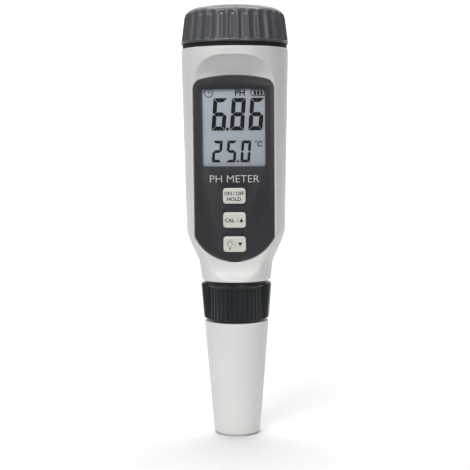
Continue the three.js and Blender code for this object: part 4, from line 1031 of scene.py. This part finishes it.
def build_battery_cap(caps):
    """A domed screw cap whose grooves run out below the dome."""
    material = finishes()["cap"]
    path = with_rows(battery_cap_path(), CAP_BOTTOM + 0.6, CAP_TOP - 1.6, 60)
    cap = turn("battery_cap_body", path, material, caps.cap_ribs * COLUMNS_PER_RIB)
    press_ribs(cap, material, ribs=caps.cap_ribs, depth=caps.cap_rib_depth, low=(CAP_BOTTOM + 0.8) * MM,
               high=(CAP_TOP - 2.5) * MM, run_out=1.5 * MM, wing_half_width=NO_WING,
               least_radius=17.9 * MM, crown_share=0.0, flank_share=0.78)
    return ride(cap, "battery_cap", "cap_plastic", "battery_cap")


def collar_columns(caps):
    """Columns of points round the collar: across one wing, then round the drum to the next wing."""
    side_angle = math.asin(WING_HALF / COLLAR_DRUM_R)
    one_side = (1.2, 2.4, WING_HALF - 0.8, WING_HALF - 0.35, WING_HALF - 0.12, WING_HALF)
    offsets = (*(-offset for offset in reversed(one_side)), 0, *one_side)
    columns = []
    steps = caps.collar_ribs * COLUMNS_PER_RIB // 2
    for base in (0.0, math.pi):
        columns += [(base, offset, "wing") for offset in offsets]
        start, end = base + side_angle, base + math.pi - side_angle
        columns += [(start + (end - start) * (k / steps), 0.0, "drum") for k in range(steps + 1)]
    return columns


def collar_sections(caps):
    """The collar's closed section at each column, wings standing out of a ribbed drum."""
    low, high = COLLAR_BOTTOM, COLLAR_TOP
    lug_low, rib_top = low + 0.4, high - 1.2
    rows = [low + step for step in COLLAR_FOOT_ROWS]
    rows += [low + 3.0 + (rib_top - low - 4.0) * k / 14 for k in range(1, 15)]
    rows += [high - step for step in COLLAR_HEAD_ROWS]
    lug_foot, lug_head = (WING_FOOT_R, lug_low + 0.8), (LUG_R, high - 0.8)
    outline = rounded([(COLLAR_DRUM_R - 0.5, low, 0), (COLLAR_DRUM_R, low, 0.5),
                       (COLLAR_DRUM_R, rib_top - 0.15, 0.15), (COLLAR_RIM_R, rib_top + 0.1, 0.2),
                       (COLLAR_RIM_R, high, 0.3), (COLLAR_RIM_R - 0.55, high, 0)], 5)

    def drum_radius(z):
        found = [r0 + (r1 - r0) * (z - z0) / (z1 - z0) for (r0, z0), (r1, z1) in zip(outline, outline[1:])
                 if z1 > z0 and z0 <= z <= z1]
        return found[0] if found else COLLAR_DRUM_R

    def wing_reach(z, offset):
        slope = (lug_head[0] - lug_foot[0]) / (lug_head[1] - lug_foot[1])
        straight = lug_foot[0] + slope * (z - lug_foot[1])
        for gap, edge in ((z - lug_low, WING_ROUND), (high - z, WING_ROUND),
                          (WING_HALF - abs(offset), WING_SIDE_ROUND)):
            if gap < edge:
                straight -= edge - math.sqrt(max(0.0, edge ** 2 - (edge - max(0.0, gap)) ** 2))
        return min(straight, LUG_R)

    sections = []
    for angle, offset, kind in collar_columns(caps):
        section = []
        for z in rows:
            radius = drum_radius(z)
            if kind == "drum":
                section.append((radius * math.cos(angle), radius * math.sin(angle), z))
                continue
            side = math.cos(angle)
            on_drum = math.sqrt(radius ** 2 - offset ** 2)
            reach = on_drum
            if lug_low < z <= high:
                reach = max(on_drum, math.sqrt(max(0.0, wing_reach(z, offset) ** 2 - offset ** 2)))
            section.append((side * reach, side * offset, z))
        for radius, z in ((COLLAR_BORE_R, high), (COLLAR_BORE_R, low + COLLAR_SEAT),
                          (COLLAR_SEAT_R, low + COLLAR_SEAT), (COLLAR_SEAT_R, low)):
            turn_angle = angle if kind == "drum" else math.atan2(
                math.cos(angle) * offset, math.cos(angle) * math.sqrt(radius ** 2 - offset ** 2))
            section.append((radius * math.cos(turn_angle), radius * math.sin(turn_angle), z))
        sections.append(section)
    return sections


def build_collar(caps):
    """The collar: a ribbed drum with a rim and two smooth wings."""
    material = finishes()["collar"]
    collar = loft("collar_body", collar_sections(caps), material, all_round=True)
    press_ribs(collar, material, ribs=caps.collar_ribs, depth=caps.collar_rib_depth,
               low=(COLLAR_BOTTOM + 0.3) * MM, high=(COLLAR_TOP - 1.05) * MM, run_out=0.5 * MM,
               wing_half_width=(WING_HALF + 0.05) * MM, least_radius=10.6 * MM, crown_share=0.35,
               flank_share=0.32)
    return ride(collar, "collar", "collar_plastic", "collar")


def build_sensor_cap():
    """A thin tapered cup, slightly bowed, with soft edges at the mouth and the foot."""
    foot_top, steps = 1.0, 12
    outline = [(0, 0.25, 0), (6.6, 0.25, 0), (7.0, 0, 0.2), (7.7, 0, 0.2),
               (SENSOR_CAP_FOOT_R, foot_top, 0.6)]
    for step in range(1, steps):
        t = step / steps
        straight = SENSOR_CAP_FOOT_R + (SENSOR_CAP_R - SENSOR_CAP_FOOT_R) * t
        outline.append((straight + SENSOR_CAP_BOW * math.sin(math.pi * t),
                        foot_top + (SENSOR_CAP_TOP - foot_top) * t, 0))
    outline += [(SENSOR_CAP_R, SENSOR_CAP_TOP, 0.5), (SENSOR_CAP_BORE_R, SENSOR_CAP_TOP, 0.3),
                (SENSOR_CAP_BORE_R, SENSOR_CAP_SEAT_Z, 0.3), (8.6, SENSOR_CAP_SEAT_Z, 0),
                (7.25, SENSOR_CAP_FLOOR, 0.5), (0, SENSOR_CAP_FLOOR, 0)]
    cap = turn("sensor_cap_body", rounded(outline, 5), finishes()["housing"], 144)
    return ride(cap, "sensor_cap", "housing_plastic", "sensor_cap")


def build_seal_ring():
    """A rubber ring with a groove round it, squeezed between the cap and the housing."""
    low, high = span("cap_seal_ring", Z_AXIS)
    outer = span("cap_seal_ring", X_AXIS)[1]
    middle = (low + high) / 2
    path = rounded([(SEAL_BORE_R, low, 0.1), (outer, low, 0.25), (outer, middle - 0.12, 0.1),
                    (outer - 0.35, middle, 0.1), (outer, middle + 0.12, 0.1), (outer, high, 0.25),
                    (SEAL_BORE_R, high, 0.1)], 4, closed=True)
    ring = turn("seal_ring", path, finishes()["rubber"], 144)
    return ride(ring, "meter", "rubber", "cap_seal_ring")


# ---------------------------------------------------------------- the panel's pieces

def build_housing():
    """The two shells, the front one with the pocket and the holes behind the overlay."""
    front = shell("front_shell", True)
    cutters = [
        cutter(overlay_outline(0.35), -4.0, POCKET_DEPTH),
        cutter(rectangle(WINDOW_HALF[0] + GLASS_MARGIN + FIT, WINDOW_HALF[1] + GLASS_MARGIN + FIT,
                         WINDOW_CORNER + GLASS_MARGIN, WINDOW_MIDDLE), 0.5, 3.0),
    ] + [cutter(key_outline(node, KEY_GAP), 0.5, 3.0) for node in KEYS]
    cut_away(front, *cutters)
    ride(front, "meter", "housing_plastic", "front_housing")
    ride(shell("rear_shell", False), "meter", "housing_plastic", "rear_housing")


def build_overlay():
    """The printed film, the window in it and the word below the keys."""
    film = panel_plate("overlay_film", overlay_outline(), FILM_FRONT, FILM_BACK, finishes()["film"])
    window = rectangle(*WINDOW_HALF, WINDOW_CORNER, WINDOW_MIDDLE)
    holes = [cutter(window, -1.0, 2.0)]
    holes += [cutter(key_outline(node, FIT), -1.0, 2.0) for node in KEYS]
    cut_away(film, *holes)
    round_edges(film, 0.08)
    ride(film, "meter", "overlay_film", "front_overlay")
    pane_outline = rectangle(WINDOW_HALF[0] - 0.02, WINDOW_HALF[1] - 0.02, WINDOW_CORNER, WINDOW_MIDDLE)
    pane = panel_plate("window_pane", pane_outline, FILM_FRONT + 0.05, FILM_BACK, finishes()["window"])
    round_edges(pane, 0.06)
    ride(pane, "meter", "window_plastic", "display_window")
    word = lettering("PH METER", 0.15, -22.15, 18.3, 2.6, FILM_FRONT - 0.03, PRINT_THICK,
                     finishes()["light print"], weight=-0.012)
    word.name = "panel_word"
    ride(word, "meter", "overlay_film")


SEGMENTS = {"0": "abcdef", "1": "bc", "2": "abged", "3": "abgcd", "4": "fgbc", "5": "afgcd",
            "6": "afgedc", "7": "abc", "8": "abcdefg", "9": "abcdfg"}


def digit_segments(width, height, thick, gap):
    """Outlines of the seven segments of a digit whose lower left corner is the origin."""
    half, t, g = height / 2, thick, gap / 2
    outlines = {
        "a": [(g * 2, height), (width - g * 2, height), (width - t - g, height - t), (t + g, height - t)],
        "d": [(g * 2, 0), (t + g, t), (width - t - g, t), (width - g * 2, 0)],
        "g": [(t * 0.45 + g, half), (t + g, half + t / 2), (width - t - g, half + t / 2),
              (width - t * 0.45 - g, half), (width - t - g, half - t / 2), (t + g, half - t / 2)],
        "b": [(width, height - g * 2), (width - t, height - t - g), (width - t, half + t / 2 + g),
              (width - t * 0.45, half + g), (width, half + t * 0.35 + g)],
        "c": [(width, g * 2), (width, half - t * 0.35 - g), (width - t * 0.45, half - g),
              (width - t, half - t / 2 - g), (width - t, t + g)],
    }
    outlines["f"] = [(width - x, v) for x, v in reversed(outlines["b"])]
    outlines["e"] = [(width - x, v) for x, v in reversed(outlines["c"])]
    return outlines


def number(text, x, v, width, height, thick, pitch, point_size, lean):
    """A number in slanted segments, from its lower left corner."""
    marks, left = [], x
    segments = digit_segments(width, height, thick, thick * 0.12)
    for character in text:
        if character == ".":
            middle = left - (pitch - width) / 2
            square = rectangle(point_size / 2, point_size / 2, point_size * 0.2, point_size / 2, 3)
            outlines = [[(middle + px, v + pv) for px, pv in square]]
        else:
            outlines = [[(left + px + pv * math.tan(lean), v + pv) for px, pv in segments[name]]
                        for name in SEGMENTS[character]]
            left += pitch
        marks += [mark(outline, LIT_FRONT, LIT_THICK, finishes()["lit"]) for outline in outlines]
    return marks


DIGITS_LEFT = -8.3
READING_FOOT, TEMPERATURE_FOOT = -4.3, -16.1
CLOCK = (-9.15, 9.5)
BATTERY_SIGN = (6.75, 11.3, 8.4, 10.65)  # left, right, low, high


def battery_sign(lit):
    """The sign of a full battery: its case, its plus end and three bars."""
    left, right, low, high = BATTERY_SIGN
    case = [((left, low), (right, low)), ((right, low), (right, high)), ((right, high), (left, high)),
            ((left, high), (left, high - 0.55)), ((left, low), (left, low + 0.55)),
            ((left - 0.4, low + 0.45), (left - 0.4, high - 0.45))]
    marks = [stroke(start, end, 0.3, LIT_FRONT, LIT_THICK, lit) for start, end in case]
    middle, first, pitch = (low + high) / 2, left + 1.15, 1.22
    for cell in range(3):
        bar = [(first + cell * pitch + px, middle + pv) for px, pv in rectangle(0.42, 0.78, 0.1, 0.0, 2)]
        marks.append(mark(bar, LIT_FRONT, LIT_THICK, lit))
    return marks


def build_display(display):
    """The display's glass cell, and the numbers and signs that are lit on it."""
    glass_outline = rectangle(WINDOW_HALF[0] + GLASS_MARGIN, WINDOW_HALF[1] + GLASS_MARGIN,
                              WINDOW_CORNER + GLASS_MARGIN, WINDOW_MIDDLE)
    glass = panel_plate("display_cell", glass_outline, GLASS_FRONT, GLASS_BACK, finishes()["cell"])
    round_edges(glass, 0.12)
    ride(glass, "meter", "lcd_glass", "lcd_glass")
    lit, lean = finishes()["lit"], display.slant
    marks = number(display.reading, DIGITS_LEFT, READING_FOOT, 5.2, display.large_height / MM, 1.5, 6.82,
                   1.0, lean)
    marks += number(display.temperature, DIGITS_LEFT, TEMPERATURE_FOOT, 3.55, display.small_height / MM,
                    1.0, 5.3, 0.75, lean)
    for text, place, tilt in (("PH", (2.35, 9.55, 3.7, 2.35), 0.0), ("C", (9.5, -9.3, 1.75, 2.0), lean)):
        marks.append(lettering(text, *place, LIT_FRONT, LIT_THICK, lit, lean=tilt, weight=0.02))
    marks.append(hoop((8.1, -8.4), 0.24, 0.18, LIT_FRONT, LIT_THICK, lit, steps=16))
    marks.append(hoop(CLOCK, 1.5, 0.24, LIT_FRONT, LIT_THICK, lit))
    for tip in ((0.05, 1.05), (0.85, 0.0)):
        end = (CLOCK[0] + tip[0], CLOCK[1] + tip[1])
        marks.append(stroke(CLOCK, end, 0.22, LIT_FRONT, LIT_THICK, lit))
    marks += battery_sign(lit)
    ride(join("display_signs", marks, lit), "meter", "lcd_glass")


KEY_FLANGE_WIDTH = 0.55
# a key from its back to its face: how much it grows all round, and how deep below the flat
KEY_PROFILE = ((KEY_FLANGE_WIDTH, KEY_BACK), (KEY_FLANGE_WIDTH, KEY_FLANGE), (0.0, KEY_FLANGE),
               (0.0, -0.12), (-0.06, -0.32), (-0.18, -0.48), (-0.36, -0.57), (-0.6, KEY_FACE))
KEY_PRINT_FRONT = KEY_FACE - 0.02


def key_word(text, x, v, width, height):
    """A word on a key."""
    return lettering(text, x, v, width, height, KEY_PRINT_FRONT, PRINT_THICK, finishes()["dark print"],
                     weight=0.025)


def key_sign(points):
    """A filled sign on a key."""
    return mark(points, KEY_PRINT_FRONT, PRINT_THICK, finishes()["dark print"])


def key_line(start, end, width):
    """A straight line on a key."""
    return stroke(start, end, width, KEY_PRINT_FRONT, PRINT_THICK, finishes()["dark print"])


def bulb_sign(x, v):
    """The sign of a lit bulb: the bulb, its neck, its screw and five rays."""
    foot = v - 1.5
    marks = [hoop((x, v), 0.86, 0.17, KEY_PRINT_FRONT, PRINT_THICK, finishes()["dark print"],
                  math.radians(-60), math.radians(240), 30)]
    for side in (-1, 1):
        marks.append(key_line((x + side * 0.43, v - 0.72), (x + side * 0.32, foot), 0.15))
    for drop in (0.0, 0.28, 0.56):
        marks.append(key_line((x - 0.36, foot - drop), (x + 0.36, foot - drop), 0.16))
    for ray in range(5):
        angle = math.radians(140 - 25 * ray)
        reach = [(x + r * math.cos(angle), v + r * math.sin(angle)) for r in (1.28, 1.85)]
        marks.append(key_line(*reach, 0.14))
    return marks


def build_keys():
    """The three keys and what is printed on them."""
    for node, body in KEYS.items():
        sections = [[on_panel(x, v, depth) for x, v in key_outline(node, grow)]
                    for grow, depth in KEY_PROFILE]
        key = loft(node + "_cap", sections, finishes()["key"], 40)
        ride(key, body, "key_plastic", node)
    power, calibrate, light = (panel_height(node) for node in KEYS)
    prints = {
        "key_power": [key_word("ON / OFF", 0.0, power + 0.95, 7.3, 1.42),
                      key_word("HOLD", -0.1, power - 1.15, 5.3, 1.42)],
        "key_calibrate": [key_word("CAL", -1.75, calibrate - 0.05, 3.65, 1.45),
                          key_line((0.85, calibrate - 0.75), (1.35, calibrate + 0.7), 0.16),
                          key_sign([(1.8, calibrate - 0.7), (3.35, calibrate - 0.7),
                                    (2.575, calibrate + 0.75)])],
        "key_light": [key_line((-0.05, light - 0.75), (0.45, light + 0.7), 0.16),
                      key_sign([(1.25, light + 0.7), (2.05, light - 0.85), (2.85, light + 0.7)]),
                      *bulb_sign(-1.75, light + 0.1)],
    }
    for node, pieces in prints.items():
        ride(join(node + "_print", pieces, finishes()["dark print"]), KEYS[node], "key_plastic")


# ---------------------------------------------------------------- what the CAD already shapes well

CARRIED_OVER = {
    "inner": ["lcd_frame", "key_switch_1", "key_switch_2", "key_switch_3", "switch_plunger_1",
              "switch_plunger_2", "switch_plunger_3", "battery_carrier", "plug_socket", "contact_disc"],
    "guide": ["backlight_panel"],
    "zebra": ["zebra_strip"],
    "board": ["circuit_board", "plug_board"],
    "chip": ["controller_chip", "amplifier_chip"],
    "steel": ["crystal_can", "board_screw_1", "board_screw_2", "board_screw_3", "board_screw_4",
              "button_cell_1", "button_cell_2", "button_cell_3", "button_cell_4", "disc_clip"],
    "rubber": ["keypad_gasket", "module_o_ring", "cap_o_ring"],
    "housing": ["neck_ring"],
    "collar": ["lower_neck"],
    "brass": ["plus_contact", "minus_contact", "bridge_contact", "contact_strip_right",
              "contact_strip_left"],
    "red lead": ["battery_lead_plus"],
    "black lead": ["battery_lead_minus"],
    "sleeve": ["electrode_body", "probe_guard"],
    "glass": ["glass_electrode"],
    "silver": ["silver_wire"],
    "junction": ["reference_junction"],
    "temperature pin": ["temperature_pin"],
}


def build_sponge():
    """A disc of foam, crowned on top and pinched at its cut edge."""
    low, high = span("storage_sponge", Z_AXIS)
    radius = span("storage_sponge", X_AXIS)[1]
    outline = [(0, low, 0), (radius - 1.0, low, 0), (radius - 0.15, low + 1.0, 0.6),
               (radius - 0.3, (low + high) / 2, 0.8), (radius - 0.12, high - 0.7, 0.6),
               (radius - 1.2, high - 0.15, 0.6), (radius * 0.5, high, 0.8), (0, high, 0)]
    sponge = turn("sponge_pad", rounded(outline, 5), finishes()["sponge"], 72)
    ride(sponge, "sensor_cap", "sponge_foam", "storage_sponge")


def finish_carried_over():
    """Gives every CAD node that stays its real material."""
    for finish, nodes in CARRIED_OVER.items():
        for node in nodes:
            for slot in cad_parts[node].material_slots:
                slot.material = finishes()[finish]


# ---------------------------------------------------------------- floor, light and camera

SWEEP_HALF_WIDTH, SWEEP_FRONT, SWEEP_BACK, SWEEP_HEIGHT, SWEEP_BEND = 0.9, -0.12, 0.75, 1.3, 0.35
WORLD_LIGHT = 0.16
ON_METER = (0, 0, 0.13)
# name, place, what it aims at, size, watts, tint
LIGHTS = (
    ("key light", (-0.24, -0.60, 0.90), ON_METER, (0.45, 0.35), 6.8, "#FFFFFF"),
    ("fill light", (0.34, -0.95, 0.50), ON_METER, (0.5, 0.6), 0.6, "#FFFEFB"),
    ("left strip", (-0.62, -0.72, 0.30), ON_METER, (0.10, 0.36), 1.1, "#FFFFFF"),
    ("right strip", (0.42, -0.86, 0.30), ON_METER, (0.10, 0.36), 1.5, "#FFFFFF"),
    ("floor light", (0, 0.12, 1.0), (0, 0.1, 0.0), (0.7, 0.5), 1.0, "#FFFFFF"),
    ("sweep light", (0, 0.30, 1.0), (0, 0.65, 0.1), (0.9, 0.3), 9.0, "#FFFFFF"),
)


def area_light(name, place, aim, size, power, tint):
    """A rectangular light that looks from its place to its aim, in metres."""
    data = bpy.data.lights.new(name, "AREA")
    data.shape = "RECTANGLE"
    data.size, data.size_y = size
    data.energy = power
    data.color = to_linear(tint)[:3]
    light = add_object(name, data)
    light.location = place
    light.rotation_euler = (Vector(aim) - Vector(place)).to_track_quat("-Z", "Y").to_euler()


def floor_sweep():
    """A floor that bends up into a wall behind the meter."""
    start, steps = SWEEP_BACK - SWEEP_BEND, 16
    profile = [(SWEEP_FRONT, 0.0), (start, 0.0)]
    for step in range(1, steps + 1):
        angle = math.radians(90 * step / steps)
        profile.append((start + SWEEP_BEND * math.sin(angle), SWEEP_BEND - SWEEP_BEND * math.cos(angle)))
    profile.append((SWEEP_BACK, SWEEP_HEIGHT))
    vertices = [(side * SWEEP_HALF_WIDTH / MM, y / MM, z / MM) for y, z in profile for side in (-1, 1)]
    faces = [[2 * k, 2 * k + 1, 2 * k + 3, 2 * k + 2] for k in range(len(profile) - 1)]
    return make_object("floor_sweep", vertices, faces, finishes()["floor"])


def place_camera(stage):
    """The camera on its circle round the meter."""
    data = bpy.data.cameras.new("camera")
    data.lens = stage.lens
    data.sensor_width = 36
    data.clip_start, data.clip_end = 0.01, 20
    camera = add_object("camera", data)
    place = Vector((stage.distance * math.sin(stage.azimuth), -stage.distance * math.cos(stage.azimuth),
                    stage.camera_height))
    turned = (Matrix.Rotation(stage.azimuth + stage.aim, 4, "Z")
              @ Matrix.Rotation(math.pi / 2 - stage.pitch, 4, "X")
              @ Matrix.Rotation(-stage.roll, 4, "Z"))
    camera.matrix_world = Matrix.Translation(place) @ turned
    bpy.context.scene.camera = camera


def build_stage(stage):
    """The floor, the world, the lights and the camera."""
    scene = bpy.context.scene
    scene.view_settings.view_transform = "Standard"
    sweep = floor_sweep()
    world = bpy.data.worlds.new("studio")
    scene.world = world
    world.use_nodes = True
    ground = world.node_tree.nodes["Background"]
    ground.inputs["Color"].default_value = (1.0, 1.0, 1.0, 1.0)
    ground.inputs["Strength"].default_value = WORLD_LIGHT
    for light in LIGHTS:
        area_light(*light)
    place_camera(stage)


# ---------------------------------------------------------------- the add-on

class PHMETER_OT_housing(bpy.types.Operator):
    """Make the two shells of the housing"""
    bl_idname = "phmeter.housing"
    bl_label = "Housing"
    bl_options = {"REGISTER", "UNDO"}

    def execute(self, context):
        build_housing()
        return {"FINISHED"}


class PHMETER_OT_overlay(bpy.types.Operator):
    """Make the printed overlay and the window"""
    bl_idname = "phmeter.overlay"
    bl_label = "Overlay and Window"
    bl_options = {"REGISTER", "UNDO"}

    def execute(self, context):
        build_overlay()
        return {"FINISHED"}


class PHMETER_OT_display(bpy.types.Operator):
    """Make the display and what it shows"""
    bl_idname = "phmeter.display"
    bl_label = "Display"
    bl_options = {"REGISTER", "UNDO"}

    def execute(self, context):
        build_display(context.scene.ph_display)
        return {"FINISHED"}


class PHMETER_OT_keys(bpy.types.Operator):
    """Make the three keys and their lettering"""
    bl_idname = "phmeter.keys"
    bl_label = "Keys"
    bl_options = {"REGISTER", "UNDO"}

    def execute(self, context):
        build_keys()
        return {"FINISHED"}


class PHMETER_OT_battery_cap(bpy.types.Operator):
    """Make the ribbed battery cap and the ring that seals it"""
    bl_idname = "phmeter.battery_cap"
    bl_label = "Battery Cap"
    bl_options = {"REGISTER", "UNDO"}

    def execute(self, context):
        build_battery_cap(context.scene.ph_caps)
        build_seal_ring()
        return {"FINISHED"}


class PHMETER_OT_collar(bpy.types.Operator):
    """Make the collar that holds the electrode"""
    bl_idname = "phmeter.collar"
    bl_label = "Collar"
    bl_options = {"REGISTER", "UNDO"}

    def execute(self, context):
        build_collar(context.scene.ph_caps)
        return {"FINISHED"}


class PHMETER_OT_sensor_cap(bpy.types.Operator):
    """Make the sensor cap and the sponge in it"""
    bl_idname = "phmeter.sensor_cap"
    bl_label = "Sensor Cap"
    bl_options = {"REGISTER", "UNDO"}

    def execute(self, context):
        build_sensor_cap()
        build_sponge()
        return {"FINISHED"}


class PHMETER_OT_inner_pieces(bpy.types.Operator):
    """Finish the pieces inside the meter and the electrode"""
    bl_idname = "phmeter.inner_pieces"
    bl_label = "Inner Pieces"
    bl_options = {"REGISTER", "UNDO"}

    def execute(self, context):
        finish_carried_over()
        return {"FINISHED"}


class PHMETER_OT_stage(bpy.types.Operator):
    """Make the floor, the lights and the camera"""
    bl_idname = "phmeter.stage"
    bl_label = "Stage"
    bl_options = {"REGISTER", "UNDO"}

    def execute(self, context):
        build_stage(context.scene.ph_stage)
        return {"FINISHED"}


OPERATORS = (PHMETER_OT_housing, PHMETER_OT_overlay, PHMETER_OT_display, PHMETER_OT_keys,
             PHMETER_OT_battery_cap, PHMETER_OT_collar, PHMETER_OT_sensor_cap, PHMETER_OT_inner_pieces,
             PHMETER_OT_stage)


class PHMETER_PT_pieces(bpy.types.Panel):
    """Lists the meter's pieces and their settings"""
    bl_idname = "PHMETER_PT_pieces"
    bl_label = "pH Meter"
    bl_space_type = "VIEW_3D"
    bl_region_type = "UI"
    bl_category = "pH Meter"

    def draw(self, context):
        for operator in OPERATORS:
            self.layout.operator(operator.bl_idname)
        for group in GROUPS:
            settings = getattr(context.scene, group)
            box = self.layout.box()
            for name in settings.bl_rna.properties.keys():
                if name not in ("name", "rna_type"):
                    box.prop(settings, name)


def register():
    for cls in (*GROUPS.values(), *OPERATORS, PHMETER_PT_pieces):
        bpy.utils.register_class(cls)
    for name, group in GROUPS.items():
        setattr(bpy.types.Scene, name, bpy.props.PointerProperty(type=group))


def unregister():
    for name in GROUPS:
        delattr(bpy.types.Scene, name)
    for cls in reversed((*GROUPS.values(), *OPERATORS, PHMETER_PT_pieces)):
        bpy.utils.unregister_class(cls)


def main():
    register()
    for operator in OPERATORS:
        group, name = operator.bl_idname.split(".")
        getattr(getattr(bpy.ops, group), name)()


if __name__ == "__main__":
    main()
